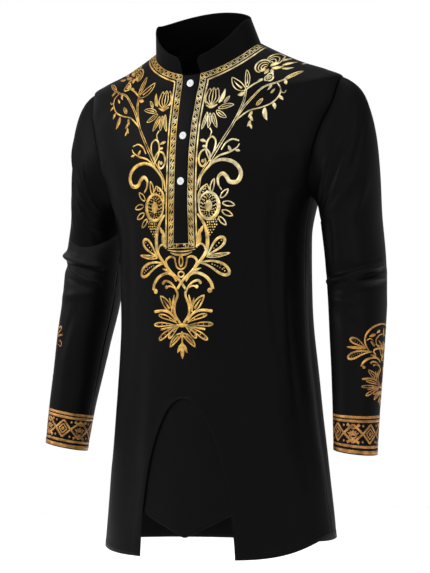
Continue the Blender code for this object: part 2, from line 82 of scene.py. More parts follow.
def table_column(rows, heights, name):
    """One column of a table at these heights, on a smooth curve with no overshoot."""
    xs = np.array([row.height for row in rows])
    ys = np.array([getattr(row, name) for row in rows])
    if xs[0] > xs[-1]:
        xs, ys = xs[::-1], ys[::-1]
    slopes = np.diff(ys) / np.diff(xs)
    before, after = slopes[:-1], slopes[1:]
    same_way = before * after > 0
    total = np.where(same_way, before + after, 1.0)
    knots = np.concatenate([
        slopes[:1], np.where(same_way, 2 * before * after / total, 0.0), slopes[-1:],
    ])
    heights = np.clip(heights, xs[0], xs[-1])
    k = np.clip(np.searchsorted(xs, heights, side="right") - 1, 0, len(xs) - 2)
    step = xs[k + 1] - xs[k]
    along = (heights - xs[k]) / step
    start, end, rise = knots[k] * step, knots[k + 1] * step, ys[k + 1] - ys[k]
    bend = (3 * rise - 2 * start - end) * along**2 + (start + end - 2 * rise) * along**3
    return ys[k] + start * along + bend


def ring_values(heights):
    return Ring(heights, *(table_column(RINGS, heights, name) for name in Ring._fields[1:]))


def on_ring(ring, angle):
    """Points of a ring: angle 0 is the middle of the front, a quarter turn the left side."""
    sine, cosine = np.sin(angle), np.cos(angle)
    power = ring.square
    swell = (np.abs(sine) ** power + np.abs(cosine) ** power) ** (-1 / power)
    deep = np.where(cosine > 0, ring.front, ring.back)
    end = np.where(cosine > 0, ring.height, ring.rear)
    return np.stack([
        ring.half_width * swell * sine,
        ring.seam - deep * swell * cosine,
        ring.side + (end - ring.side) * np.abs(cosine) ** TILT_POWER,
    ], axis=-1)


def body_plain(angle, heights):
    angle, heights = np.broadcast_arrays(angle, heights)
    return on_ring(ring_values(heights), angle)


def angle_across(across, heights):
    """The angle on the front at which the body is this far to the side of the middle."""
    ring = ring_values(heights)
    sine = across / ring.half_width
    for _ in range(6):
        cosine = np.sqrt(np.maximum(1 - sine**2, 0.0))
        swell = (np.abs(sine) ** ring.square + cosine**ring.square) ** (-1 / ring.square)
        sine = across / (ring.half_width * swell)
    return np.arcsin(np.clip(sine, -1, 1))


def signed_angle(across, heights):
    """The angle at which the body is this far to one side of the middle or the other."""
    return np.sign(across) * angle_across(np.abs(across), heights)


def line_length(points):
    return float(np.linalg.norm(np.diff(points, axis=0), axis=1).sum())


CHEST_HEIGHT = -0.25
chest = body_plain(np.linspace(0, 2 * np.pi, 400), np.full(400, CHEST_HEIGHT))
print("chest girth, m:", round(line_length(chest), 3))

# %% [markdown]
# ## Folds
# Cloth on a body folds where it is pulled or pushed together: long soft drapes down the skirt,
# creases that run from the underarm, and tight ridges at the elbow. Each row of the tables is
# one fold, from one place to another, with its width and height. A row with a negative height
# is a trough. The first rows are the folds of the rigid walls, and the rest are finer ones that
# only the cloth has. Setting each one by one keeps them uneven, as real folds are.

# %% Folds of the body and the sleeves
Fold = namedtuple("Fold", "across1 up1 across2 up2 wide high")
BODY_FOLDS = (
    (46, -0.30, 52, -0.80, 0.030, 0.0045),
    (30, -0.36, 33, -0.84, 0.026, -0.0035),
    (-48, -0.34, -56, -0.82, 0.028, 0.0040),
    (72, -0.38, 78, -0.80, 0.024, -0.0030),
    (-30, -0.40, -36, -0.84, 0.024, -0.0030),
    (150, -0.30, 146, -0.82, 0.032, -0.0050),
    (206, -0.28, 212, -0.80, 0.034, 0.0050),
    (240, -0.34, 246, -0.83, 0.026, -0.0040),
    (118, -0.36, 112, -0.80, 0.028, 0.0040),
)
BODY_CREASES = (
    (42, -0.20, 46, -0.37, 0.014, 0.0033),
    (36, -0.24, 37, -0.60, 0.016, -0.0039),
    (54, -0.22, 57, -0.50, 0.013, -0.0030),
    (62, -0.26, 66, -0.62, 0.015, 0.0033),
    (24, -0.46, 26, -0.83, 0.014, 0.0027),
    (68, -0.215, 52, -0.185, 0.011, 0.0024),
    (70, -0.245, 50, -0.255, 0.011, -0.0021),
    (-66, -0.215, -50, -0.190, 0.011, 0.0024),
    (-68, -0.245, -46, -0.300, 0.012, 0.0027),
    (-40, -0.26, -44, -0.60, 0.015, -0.0036),
    (-60, -0.28, -66, -0.70, 0.014, -0.0030),
    (-22, -0.50, -24, -0.82, 0.014, 0.0024),
    (-76, -0.34, -80, -0.76, 0.015, 0.0030),
    (58, -0.128, 44, -0.110, 0.012, -0.0018),
    (-60, -0.128, -46, -0.112, 0.012, -0.0018),
    (170, -0.24, 168, -0.66, 0.018, 0.0039),
    (188, -0.30, 192, -0.78, 0.018, -0.0039),
    (130, -0.22, 136, -0.50, 0.016, -0.0033),
    (224, -0.24, 226, -0.56, 0.016, 0.0033),
    (112, -0.20, 128, -0.17, 0.012, 0.0027),
    (248, -0.20, 232, -0.17, 0.012, 0.0027),
    (155, -0.16, 205, -0.155, 0.020, -0.0018),
    (262, -0.42, 266, -0.78, 0.016, 0.0033),
    (98, -0.40, 96, -0.78, 0.015, -0.0030),
)
LEFT_SLEEVE_FOLDS = (
    (0.13, 1.255, 0.32, 1.250, 0.0075, 0.0050),
    (0.28, 1.245, 0.52, 1.195, 0.0075, 0.0060),
    (0.32, 1.275, 0.54, 1.245, 0.0070, 0.0045),
    (0.14, 1.215, 0.36, 1.210, 0.0090, -0.0040),
    (0.12, 1.295, 0.34, 1.310, 0.0100, -0.0035),
    (0.36, 0.34, 0.10, 0.88, 0.0100, -0.0060),
    (0.28, 0.46, 0.14, 0.84, 0.0100, 0.0035),
    (0.38, 0.62, 0.26, 0.86, 0.0110, 0.0035),
    (0.74, 0.36, 0.90, 0.88, 0.0120, -0.0050),
    (0.62, 1.22, 0.92, 1.30, 0.0100, 0.0045),
    (0.60, 1.31, 0.84, 1.36, 0.0110, -0.0035),
)
LEFT_SLEEVE_CREASES = (
    (0.12, 1.257, 0.34, 1.252, 0.0042, 0.0034),
    (0.26, 1.249, 0.52, 1.192, 0.0042, 0.0038),
    (0.32, 1.280, 0.54, 1.248, 0.0040, 0.0032),
    (0.10, 1.232, 0.30, 1.229, 0.0045, -0.0030),
    (0.30, 1.226, 0.50, 1.176, 0.0045, -0.0034),
    (0.34, 1.264, 0.52, 1.226, 0.0034, -0.0034),
    (0.30, 1.306, 0.52, 1.290, 0.0050, -0.0026),
    (0.16, 1.34, 0.36, 1.37, 0.0070, 0.0024),
    (0.20, 1.40, 0.42, 1.52, 0.0090, -0.0024),
    (0.46, 0.30, 0.34, 0.66, 0.0080, -0.0030),
    (0.24, 0.30, 0.12, 0.62, 0.0070, 0.0030),
    (0.44, 0.72, 0.34, 1.02, 0.0090, 0.0024),
    (0.22, 0.96, 0.20, 1.18, 0.0080, -0.0024),
    (0.66, 0.50, 0.80, 0.90, 0.0090, 0.0022),
    (0.72, 1.18, 0.94, 1.22, 0.0060, -0.0020),
    (0.70, 1.44, 0.90, 1.60, 0.0090, 0.0014),
    (0.52, 0.10, 0.50, 0.40, 0.0070, 0.0014),
)
RIGHT_SLEEVE_FOLDS = (
    (0.10, 1.165, 0.46, 1.105, 0.0075, 0.0060),
    (0.10, 1.245, 0.33, 1.165, 0.0080, 0.0045),
    (0.16, 1.205, 0.44, 1.155, 0.0080, -0.0045),
    (0.42, 1.060, 0.56, 1.085, 0.0090, 0.0030),
    (0.42, 0.48, 0.18, 0.80, 0.0100, -0.0055),
    (0.40, 0.38, 0.24, 0.62, 0.0100, 0.0035),
    (0.76, 0.34, 0.90, 0.86, 0.0120, -0.0050),
    (0.60, 1.14, 0.90, 1.25, 0.0100, 0.0045),
    (0.64, 1.24, 0.86, 1.33, 0.0110, -0.0035),
)
RIGHT_SLEEVE_CREASES = (
    (0.10, 1.166, 0.44, 1.108, 0.0042, 0.0038),
    (0.10, 1.246, 0.33, 1.168, 0.0042, 0.0034),
    (0.08, 1.188, 0.40, 1.134, 0.0042, -0.0034),
    (0.12, 1.222, 0.36, 1.188, 0.0040, -0.0026),
    (0.14, 1.268, 0.36, 1.200, 0.0050, -0.0028),
    (0.14, 1.29, 0.38, 1.32, 0.0080, 0.0024),
    (0.22, 1.36, 0.30, 1.62, 0.0100, -0.0022),
    (0.30, 0.28, 0.16, 0.58, 0.0070, 0.0030),
    (0.36, 0.74, 0.26, 1.02, 0.0090, 0.0026),
    (0.28, 0.86, 0.12, 1.06, 0.0080, -0.0024),
    (0.68, 0.50, 0.82, 0.92, 0.0090, 0.0022),
    (0.70, 1.10, 0.92, 1.17, 0.0060, -0.0020),
    (0.68, 1.42, 0.88, 1.58, 0.0090, 0.0014),
)
BODY_GIRTH, SLEEVE_GIRTH, SLEEVE_REACH = 0.97, 0.36, 0.38
BODY_RIPPLE, SLEEVE_RIPPLE, RIPPLE_TOP, RIPPLE_FADE = 0.00028, 0.00025, -0.075, 0.05
ANGLE_STEP, HEIGHT_STEP, ALONG_STEP = 0.004, 0.001, 0.01


def fold_lift(across, up, folds, girth, around, reach):
    """How far the folds lift the cloth. girth and reach turn places into metres."""
    lift = np.zeros(np.shape(across))
    for fold in map(Fold._make, folds):
        turn = (across - fold.across1 + around / 2) % around - around / 2
        side, rise = turn * girth / around, (up - fold.up1) * reach
        run = np.array([(fold.across2 - fold.across1) * girth / around,
                        (fold.up2 - fold.up1) * reach])
        along = (side * run[0] + rise * run[1]) / (run @ run)
        held = np.clip(along, 0, 1)
        beside = np.hypot(side - run[0] * held, rise - run[1] * held) / fold.wide
        fade = np.sin(np.pi * np.clip(0.08 + 0.84 * along, 0, 1))
        lift += np.where(beside < 2.5, fold.high * fade * np.exp(-(beside**2)), 0.0)
    return lift


def ripple(across, up, size):
    """The slight unevenness that all woven cloth has, as a sum of slow waves, in metres."""
    waves = (
        np.sin(31 * across + 9 * up) * np.sin(17 * up + 1.3)
        + 0.6 * np.sin(53 * across - 21 * up + 2.0) * np.cos(29 * up)
        + 0.4 * np.sin(88 * across + 47 * up + 0.7)
    )
    return size * waves


def surface_ways(angle, level):
    """The ways across and up the plain body at these places, as short steps."""
    right = body_plain(angle + ANGLE_STEP, level) - body_plain(angle - ANGLE_STEP, level)
    above = body_plain(angle, level + HEIGHT_STEP) - body_plain(angle, level - HEIGHT_STEP)
    return right, above


def unit(vectors):
    return vectors / np.linalg.norm(vectors, axis=-1, keepdims=True)


def body_point(angle, heights, out=0.0):
    """Points of the body's cloth, moved out by this much, with all its folds."""
    angle, heights = np.broadcast_arrays(np.asarray(angle, float), np.asarray(heights, float))
    normal = unit(np.cross(*surface_ways(angle, np.minimum(heights, NECK - HEIGHT_STEP))))
    degrees = np.degrees(angle)
    lift = fold_lift(degrees, heights, BODY_FOLDS + BODY_CREASES, BODY_GIRTH, 360, 1.0)
    calm = np.clip((RIPPLE_TOP - heights) / RIPPLE_FADE, 0, 1)
    lift = lift + ripple(angle * BODY_GIRTH / (2 * np.pi), heights, BODY_RIPPLE) * calm
    return body_plain(angle, heights) + normal * (lift + out)[..., None]


# %% [markdown]
# ## The sleeves' surface
# A sleeve is a tube round the arm, and its head is cut to fill the armhole. Below the head the
# table gives an ellipse every few centimetres. Its last columns are how far the ellipse rises
# towards its outer side and its back, first for the left arm and then for the right one, since
# two arms never hang alike. The head is a smooth bridge: it leaves the armhole's edge in the
# direction that the cap is eased to, and arrives in the arm's direction.

# %% Rings of the sleeves
Cuff = namedtuple("Cuff", "height x y across deep out back right_out right_back")
SLEEVE = (
    Cuff(-0.310, 0.2475, 0.030, 0.0465, 0.068, 0.10, -0.02, 0.10, -0.02),
    Cuff(-0.370, 0.2560, 0.024, 0.0460, 0.066, 0.08, -0.02, 0.08, -0.02),
    Cuff(-0.430, 0.2615, 0.017, 0.0450, 0.063, 0.07, -0.06, 0.07, -0.06),
    Cuff(-0.500, 0.2680, 0.000, 0.0425, 0.056, 0.06, -0.10, 0.06, -0.10),
    Cuff(-0.560, 0.2730, -0.014, 0.0400, 0.049, 0.03, -0.06, 0.12, -0.08),
    Cuff(-0.620, 0.2775, -0.029, 0.0370, 0.044, -0.07, 0.00, 0.20, -0.07),
    Cuff(-0.683, 0.2810, -0.042, 0.0340, 0.041, -0.16, -0.02, 0.22, -0.09),
)
SLEEVE_START, SLEEVE_END = SLEEVE[0].height, SLEEVE[-1].height
SLEEVE_FALL = SLEEVE_START - SLEEVE_END
FRONT_SCOOP, BACK_SCOOP, SCOOP_POWER = 22.0, 27.0, 0.5
HEAD_LIFT, HEAD_DROP = 0.95, 0.90
SEAM_HELD, CUFF_FLAT = 0.05, 1.86
LEAVE_UNDER = np.array([0.75, 0.00, -0.60])
LEAVE_TOP = np.array([0.92, 0.08, -0.30])
LEAVE_FRONT = np.array([0.80, -0.12, -0.20])
LEAVE_BACK = np.array([0.80, 0.28, -0.20])


def scoop(heights, depth):
    """The angle by which a panel stops short of the side, along the armhole."""
    along = np.clip((heights - UNDERARM) / (SHOULDER_TIP - UNDERARM), 0, 1)
    return np.radians(depth) * np.sin(np.pi * along) ** SCOOP_POWER


def armhole_place(turn):
    """The armhole's edge: turn 0 is the underarm and 0.5 the shoulder tip, front side first."""
    share = np.where(turn <= 0.5, turn * 2, 2 - turn * 2)
    heights = UNDERARM + (SHOULDER_TIP - UNDERARM) * (1 - np.cos(np.pi * share)) / 2
    angle = np.where(
        turn <= 0.5,
        np.pi / 2 - scoop(heights, FRONT_SCOOP),
        np.pi / 2 + scoop(heights, BACK_SCOOP),
    )
    return angle, heights


def arm_ring(turn, heights, side):
    """Points of the sleeve below its head, without folds."""
    row = Cuff(heights, *(table_column(SLEEVE, heights, name) for name in Cuff._fields[1:]))
    around = 2 * np.pi * turn
    out, back = -row.across * np.cos(around), -row.deep * np.sin(around)
    tilts = (row.out, row.back) if side == 1 else (row.right_out, row.right_back)
    level = heights + tilts[0] * out + tilts[1] * back
    return np.stack([row.x + out, row.y + back, level], axis=-1)


def mix(first, second, share):
    return first + (second - first) * share[..., None]


def sleeve_plain(turn, along, side=1):
    """Points of the sleeve: along 0 to 1 is its head, 1 to 2 the rest down to the wrist."""
    turn, along = np.broadcast_arrays(turn % 1.0, along)
    heights = SLEEVE_START - SLEEVE_FALL * np.clip(along - 1, 0, 1)
    low = arm_ring(turn, heights, side)
    share = np.clip(along, 0, 1)
    around = 2 * np.pi * turn
    way = mix(LEAVE_UNDER, LEAVE_TOP, (1 - np.cos(around)) / 2)
    sideways = np.where((turn < 0.5)[..., None], LEAVE_FRONT, LEAVE_BACK)
    leave = unit(mix(way, sideways, np.abs(np.sin(around))))
    start = body_point(*armhole_place(turn))
    end = arm_ring(turn, np.full(np.shape(turn), SLEEVE_START), side)
    below = arm_ring(turn, np.full(np.shape(turn), SLEEVE_START - ALONG_STEP), side)
    reach = np.linalg.norm(end - start, axis=-1)
    first = leave * (reach * HEAD_LIFT)[..., None]
    last = unit(below - end) * (reach * HEAD_DROP)[..., None]
    square, cube = (share**2)[..., None], (share**3)[..., None]
    head = (
        start * (2 * cube - 3 * square + 1)
        + first * (cube - 2 * square + share[..., None])
        + end * (3 * square - 2 * cube)
        + last * (cube - square)
    )
    return np.where((along < 1)[..., None], head, low)


def sleeve_point(turn, along, folds, out=0.0, side=1):
    """Points of a sleeve's cloth, moved out. side is 1 for the wearer's left, -1 for right."""
    turn, along = np.broadcast_arrays(np.asarray(turn, float), np.asarray(along, float))
    front = sleeve_plain(turn + ALONG_STEP, along, side)
    right = front - sleeve_plain(turn - ALONG_STEP, along, side)
    lower = sleeve_plain(turn, np.minimum(along + ALONG_STEP, 2.0), side)
    down = lower - sleeve_plain(turn, np.maximum(along - ALONG_STEP, 0.0), side)
    normal = unit(np.cross(down, right))
    free = np.clip(along / SEAM_HELD, 0, 1)
    lift = fold_lift(turn, along, folds, SLEEVE_GIRTH, 1, SLEEVE_REACH) * free
    calm = np.clip(along * 4, 0, 1) * np.clip((CUFF_FLAT - along) * 8, 0, 1)
    lift = lift + ripple(turn * SLEEVE_GIRTH, along * SLEEVE_REACH, SLEEVE_RIPPLE) * calm
    points = sleeve_plain(turn, along, side) + normal * (lift + out)[..., None]
    return points * np.array([side, 1, 1])


wrist = sleeve_plain(np.linspace(0, 1, 200), np.full(200, 2.0))
print("girth at the wrist, m:", round(line_length(wrist), 3))

# %% [markdown]
# ## Cloth, print and thread as materials
# The shirt is a matt black woven cotton blend. One black colour would look like plastic, so the
# weave is a fine bump of two crossed waves, slow noise varies the colour and the roughness, and
# a trace of the shader's own sheen stands for loose fibres. Every pattern of the cloth reads a
# UV map that is in metres along the cloth, so it follows the folds.

# %% Helpers for materials
THREAD_PITCH = 0.0008


def new_material(name):
    material = bpy.data.materials.new(name)
    material.use_nodes = True
    return material, material.node_tree, material.node_tree.nodes["Principled BSDF"]


def add_node(tree, kind, **values):
    """A node with these settings: sockets by their names, anything else as an attribute."""
    node = tree.nodes.new(kind)
    for name, value in values.items():
        socket = node.inputs.get(name.replace("_", " "))
        if socket is not None:
            socket.default_value = value
        else:
            setattr(node, name, value)
    return node


def linked(tree, kind, sources, **values):
    """A node with these settings, whose inputs of these names come from other sockets."""
    node = add_node(tree, kind, **values)
    for name, source in sources.items():
        tree.links.new(source, node.inputs[name])
    return node


def between(tree, source, low, high):
    """A map from 0..1 to low..high."""
    node = linked(tree, "ShaderNodeMapRange", {"Value": source}, To_Min=low, To_Max=high)
    return node.outputs["Result"]


def two_colours(tree, source, first, second):
    ramp = linked(tree, "ShaderNodeValToRGB", {"Fac": source})
    ramp.color_ramp.elements[0].color, ramp.color_ramp.elements[1].color = first, second
    return ramp.outputs["Color"]


def noise(tree, place, **values):
    """Noise from 0 to 1 at these places."""
    return linked(tree, "ShaderNodeTexNoise", {"Vector": place}, **values).outputs["Fac"]


def object_place(tree):
    return add_node(tree, "ShaderNodeTexCoord").outputs["Object"]


def paint(tree, shader, tone, roughness):
    """Gives the shader a colour and a roughness, each from a socket."""
    tree.links.new(tone, shader.inputs["Base Color"])
    tree.links.new(roughness, shader.inputs["Roughness"])


def woven_bump(tree, shader, pitch, depth):
    """A plain weave: two crossed waves on the UV map, which is in metres."""
    place = add_node(tree, "ShaderNodeUVMap", uv_map="cloth")
    waves = []
    for direction in ("X", "Y"):
        wave = linked(tree, "ShaderNodeTexWave", {"Vector": place.outputs["UV"]},
                      bands_direction=direction, Scale=2 * math.pi / (20 * pitch),
                      Distortion=1.2, Detail_Scale=2.0)
        waves.append(wave.outputs["Fac"])
    weave = add_node(tree, "ShaderNodeMath", operation="MULTIPLY")
    tree.links.new(waves[0], weave.inputs[0])
    tree.links.new(waves[1], weave.inputs[1])
    bump = linked(tree, "ShaderNodeBump", {"Height": weave.outputs[0]},
                  Strength=0.35, Distance=depth)
    tree.links.new(bump.outputs["Normal"], shader.inputs["Normal"])
    return place.outputs["UV"]


# %% Black woven cloth
def black_cloth(name, dark, light, rough):
    """Black cloth, between two nearly equal blacks, with a weave and a trace of sheen."""
    material, tree, shader = new_material(name)
    place = woven_bump(tree, shader, THREAD_PITCH, 0.00012)
    slub = noise(tree, place, Scale=14.0, Detail=6.0, Roughness=0.62)
    paint(tree, shader, two_colours(tree, slub, dark, light),
          between(tree, slub, rough - 0.07, rough + 0.07))
    shader.inputs["Specular IOR Level"].default_value = 0.066
    shader.inputs["Sheen Weight"].default_value = 0.003
    shader.inputs["Sheen Roughness"].default_value = 0.45
    shader.inputs["Sheen Tint"].default_value = (0.86, 0.83, 0.90, 1.0)
    return material


BODY_CLOTH = black_cloth("body_cloth", (0.0010, 0.0009, 0.0011, 1), (0.0028, 0.0024, 0.0027, 1),
                         0.50)
COLLAR_CLOTH = black_cloth("collar_cloth", (0.0007, 0.0006, 0.0007, 1), (0.0018, 0.0015, 0.0016, 1),
                           0.56)
SEWING_THREAD = black_cloth("black_thread", (0.006, 0.006, 0.007, 1), (0.012, 0.012, 0.013, 1),
                            0.40)
print("cloth materials:", BODY_CLOTH.name, COLLAR_CLOTH.name, SEWING_THREAD.name)

# %% [markdown]
# The print is gold foil pressed onto the cloth. Foil is metal, but cracked and dull, so it is
# part metal with a middling roughness. It is pale yellow on the left of the chest, partly a
# painted shine where the foil catches the light, and farther away, at the other shoulder and on
# the sleeves, it turns to a redder copper gold. A noise adds painted glints: it makes the colour
# brighter and darker in small flecks.

# %% Gold foil
def gold_foil():
    material, tree, shader = new_material("gold_foil")
    place = object_place(tree)
    # The colour ramp runs with the distance from a point on the left of the chest: pale yellow
    # there, partly a painted shine where the foil catches the light, and a redder copper gold
    # farther away.
    moved = linked(tree, "ShaderNodeMapping", {"Vector": place}, Location=(-0.10, 0.0, 0.09),
                   Scale=(1.0, 0.0, 0.6))
    away = linked(tree, "ShaderNodeVectorMath", {0: moved.outputs["Vector"]}, operation="LENGTH")
    shine_and_tone_spread = linked(tree, "ShaderNodeMapRange", {"Value": away.outputs["Value"]},
                    From_Min=0.05, From_Max=0.36)
    drift = noise(tree, place, Scale=34.0, Detail=3.0, Roughness=0.6)
    sources = {0: shine_and_tone_spread.outputs[0], 1: between(tree, drift, -0.62, 0.58)}
    mixed = linked(tree, "ShaderNodeMath", sources, operation="ADD")
    ramp = linked(tree, "ShaderNodeValToRGB", {"Fac": mixed.outputs[0]})
    tones_with_painted_shine = (
        (0.0, (1.0, 0.86, 0.50, 1)), (0.20, (1.0, 0.74, 0.28, 1)), (0.42, (0.98, 0.62, 0.16, 1)),
        (0.70, (0.78, 0.42, 0.10, 1)), (1.0, (0.50, 0.24, 0.07, 1)),
    )
    while len(ramp.color_ramp.elements) < len(tones_with_painted_shine):
        ramp.color_ramp.elements.new(0.5)
    for element, (position, colour) in zip(ramp.color_ramp.elements, tones_with_painted_shine):
        element.position, element.color = position, colour
    crackle = noise(tree, place, Scale=420.0, Detail=4.0, Roughness=0.6)
    worn = two_colours(tree, crackle, (0.52, 0.50, 0.48, 1), (1.0, 1.0, 1.0, 1))
    blend = add_node(tree, "ShaderNodeMix", data_type="RGBA", blend_type="MULTIPLY")
    colours = [socket for socket in blend.inputs if socket.type == "RGBA"]
    blend.inputs["Factor"].default_value = 1.0
    tree.links.new(ramp.outputs["Color"], colours[0])
    tree.links.new(worn, colours[1])
    result = [socket for socket in blend.outputs if socket.type == "RGBA"][0]
    # Painted glints: this noise scales the foil's colour up and down, so bright and dark flecks
    # stand in for the foil catching the light.
    painted_glint = noise(tree, place, Scale=75.0, Detail=2.0)
    sources = {0: result, "Scale": between(tree, painted_glint, -0.35, 2.25)}
    tone_with_painted_glints = linked(tree, "ShaderNodeVectorMath", sources, operation="SCALE")
    paint(tree, shader, tone_with_painted_glints.outputs["Vector"], between(tree, crackle, 0.34, 0.56))
    bump = linked(tree, "ShaderNodeBump", {"Height": crackle}, Strength=0.25, Distance=0.00008)
    tree.links.new(bump.outputs["Normal"], shader.inputs["Normal"])
    shader.inputs["Metallic"].default_value = 0.62
    return material


GOLD_FOIL = gold_foil()
print("print material:", GOLD_FOIL.name)

# %% [markdown]
# ## Cloth panels
# Each panel is a grid of points on the surface, one for each cut piece. A turned hem doubles
# the cloth, so the outside steps out a little along an edge. Solidify gives the sheet its
# thickness, under a millimetre, on the inside. The UV map is laid in metres at the same time.

# %% Making a panel
CLOTH_THICK, SEAM_GAP = 0.0007, 0.0004
HEM_WIDE, HEM_STEP, HEM_SOFT = 0.012, 0.0004, 0.003


def hem_step(distance):
    """How far the cloth stands out, this far from an edge that is turned under."""
    share = np.clip((HEM_WIDE - distance) / HEM_SOFT, 0, 1)
    return HEM_STEP * share**2 * (3 - 2 * share)


def grid_quads(rows, columns, closed=False):
    """Faces between rows of points, facing out when columns run to the left and rows run up."""
    reach = columns if closed else columns - 1
    row, column = np.meshgrid(np.arange(rows - 1), np.arange(reach), indexing="ij")
    beside = (column + 1) % columns
    low, high = row * columns, (row + 1) * columns
    quads = np.stack([low + column, low + beside, high + beside, high + column], axis=-1)
    return quads.reshape(-1, 4)


def grid_uv(points):
    """Metres along and up the cloth, measured from the middle column and the lowest row."""
    steps = np.linalg.norm(np.diff(points, axis=1), axis=-1)
    along = np.concatenate([np.zeros((len(points), 1)), np.cumsum(steps, axis=1)], axis=1)
    along = along - along[:, points.shape[1] // 2][:, None]
    rises = np.linalg.norm(np.diff(points, axis=0), axis=-1)
    up = np.concatenate([np.zeros((1, points.shape[1])), np.cumsum(rises, axis=0)])
    return np.stack([along, up], axis=-1)


def mesh_piece(name, points, faces, material, places=None):
    """A smooth object from points and faces, with places as its UV map where they are given."""
    mesh = bpy.data.meshes.new(name)
    mesh.from_pydata(np.asarray(points).reshape(-1, 3).tolist(), [], np.asarray(faces).tolist())
    if places is not None:
        layer = mesh.uv_layers.new(name="cloth")
        corners = np.empty(len(mesh.loops), dtype=np.int32)
        mesh.loops.foreach_get("vertex_index", corners)
        layer.data.foreach_set("uv", places.reshape(-1, 2)[corners].astype(np.float32).ravel())
    mesh.materials.append(material)
    mesh.shade_smooth()
    piece = bpy.data.objects.new(name, mesh)
    bpy.context.scene.collection.objects.link(piece)
    return piece


def tidy_mesh(piece, merge=0.00002):
    """Merges doubled points and drops loose ones."""
    work = bmesh.new()
    work.from_mesh(piece.data)
    bmesh.ops.remove_doubles(work, verts=work.verts, dist=merge)
    bmesh.ops.delete(work, geom=[v for v in work.verts if not v.link_faces], context="VERTS")
    work.to_mesh(piece.data)
    work.free()


def add_wall(piece, thickness, offset=-1.0):
    wall = piece.modifiers.new("wall", "SOLIDIFY")
    wall.thickness, wall.offset = thickness, offset


def apply_modifiers(piece):
    """Keeps what the modifiers make as the piece's own mesh."""
    evaluated = piece.evaluated_get(bpy.context.evaluated_depsgraph_get())
    mesh = bpy.data.meshes.new_from_object(evaluated)
    piece.modifiers.clear()
    piece.data = mesh
    return piece


def outer_tree(piece):
    """A search tree of the outside of a sheet, before it gets its wall."""
    points = [v.co.copy() for v in piece.data.vertices]
    return BVHTree.FromPolygons(points, [tuple(p.vertices) for p in piece.data.polygons])


# %% [markdown]
# ### The front
# The front is one panel. Above, a slit takes the placket, and below, an arch is cut out of the
# hem. The two halves are mirrored grids whose inner column follows the arch or the slit, so
# those edges come out clean with no cutting.

# %% Front panel
HEM, BACK_RISE, LEFT_RISE, RIGHT_RISE, RISE_POWER = -0.860, 0.010, 0.034, 0.012, 2.6
ARCH_TOP, ARCH_HALF, ARCH_ROUND = -0.595, 0.0915, 0.87
SLIT_BOTTOM, SLIT_TOP_HALF, SLIT_BOTTOM_HALF, SLIT_PULL = -0.337, 0.0172, 0.0142, 0.0125
SIDE_COLUMNS, MIDDLE_COLUMNS, BACK_COLUMNS = 62, 5, 127
ARCH_ROWS, WAIST_ROWS, CHEST_ROWS, ARMHOLE_ROWS, YOKE_ROWS = 76, 62, 19, 45, 36


def hem_height(angle):
    sine, cosine = np.sin(angle), np.cos(angle)
    rise = np.where(sine > 0, LEFT_RISE, RIGHT_RISE)
    back = np.where(cosine < 0, BACK_RISE, 0.0)
    return HEM + back + (rise - back) * np.abs(sine) ** (2 * RISE_POWER)


def arch_half(heights):
    depth = np.clip((ARCH_TOP - heights) / (ARCH_TOP - HEM), 0, 1)
    return ARCH_HALF * (ARCH_ROUND * np.sqrt(1 - (1 - depth) ** 2) + (1 - ARCH_ROUND) * depth)


def slit_half(heights):
    along = (heights - SLIT_BOTTOM) / (NECK - SLIT_BOTTOM)
    straight = SLIT_BOTTOM_HALF + (SLIT_TOP_HALF - SLIT_BOTTOM_HALF) * along
    return straight - SLIT_PULL * along * (1 - along)


def row_heights():
    """Heights of the front's rows from the hem to the neck, and where the slit starts."""
    arch = ARCH_TOP - (ARCH_TOP - HEM) * np.linspace(1, 0, ARCH_ROWS)[:-1] ** 2
    waist = np.linspace(ARCH_TOP, SLIT_BOTTOM, WAIST_ROWS)[:-1]
    chest_rows = np.linspace(SLIT_BOTTOM, UNDERARM, CHEST_ROWS)[:-1]
    armhole = np.linspace(UNDERARM, SHOULDER_TIP, ARMHOLE_ROWS)[:-1]
    yoke = np.linspace(SHOULDER_TIP, NECK, YOKE_ROWS)
    rows = np.concatenate([arch, waist, chest_rows, armhole, yoke])
    return rows, len(arch) + len(waist)


def front_half(side):
    rows, slit_row = row_heights()
    drop = np.clip((ARCH_TOP - rows) / (ARCH_TOP - HEM), 0, 1)
    inner = np.where(drop > 0, angle_across(arch_half(rows), rows), 0.0)
    outer = np.pi / 2 - scoop(rows, FRONT_SCOOP)
    first = angle_across(slit_half(np.maximum(rows, SLIT_BOTTOM)), rows)
    near = first[:, None] / outer[:, None] * np.linspace(0, 1, MIDDLE_COLUMNS + 1)[:-1]
    far_share = np.linspace(0, 1, SIDE_COLUMNS + 1)
    far = (first + (outer - first) * far_share[:, None]).T / outer[:, None]
    share = np.concatenate([near, far], axis=1)
    angle = side * (inner[:, None] + (outer - inner)[:, None] * share)
    level = rows[:, None] + drop[:, None] * (hem_height(angle) - HEM)
    above_hem = level - hem_height(angle)
    beside_arch = np.abs(np.sin(angle)) * 0.2 - np.where(drop > 0, arch_half(rows), -1.0)[:, None]
    edge = np.minimum(above_hem, np.where(drop[:, None] > 0, beside_arch, 1.0))
    return body_point(angle, level, hem_step(edge)), slit_row


def make_front():
    points, uvs, faces = [], [], []
    for side in (1, -1):
        half, slit_row = front_half(side)
        half = half if side == 1 else half[:, ::-1]
        places = grid_uv(half) + np.array([side * 0.3, 0])
        quads = grid_quads(*half.shape[:2])
        column = quads[:, 0] % half.shape[1]
        row = quads[:, 0] // half.shape[1]
        if side == -1:
            column = half.shape[1] - 2 - column
        quads = quads[~((row >= slit_row) & (column < MIDDLE_COLUMNS))]
        faces.append(quads + sum(len(p) for p in points))
        points.append(half.reshape(-1, 3))
        uvs.append(places.reshape(-1, 2))
    piece = mesh_piece("front_cloth", np.concatenate(points), np.concatenate(faces), BODY_CLOTH,
                       np.concatenate(uvs))
    tidy_mesh(piece)
    return piece


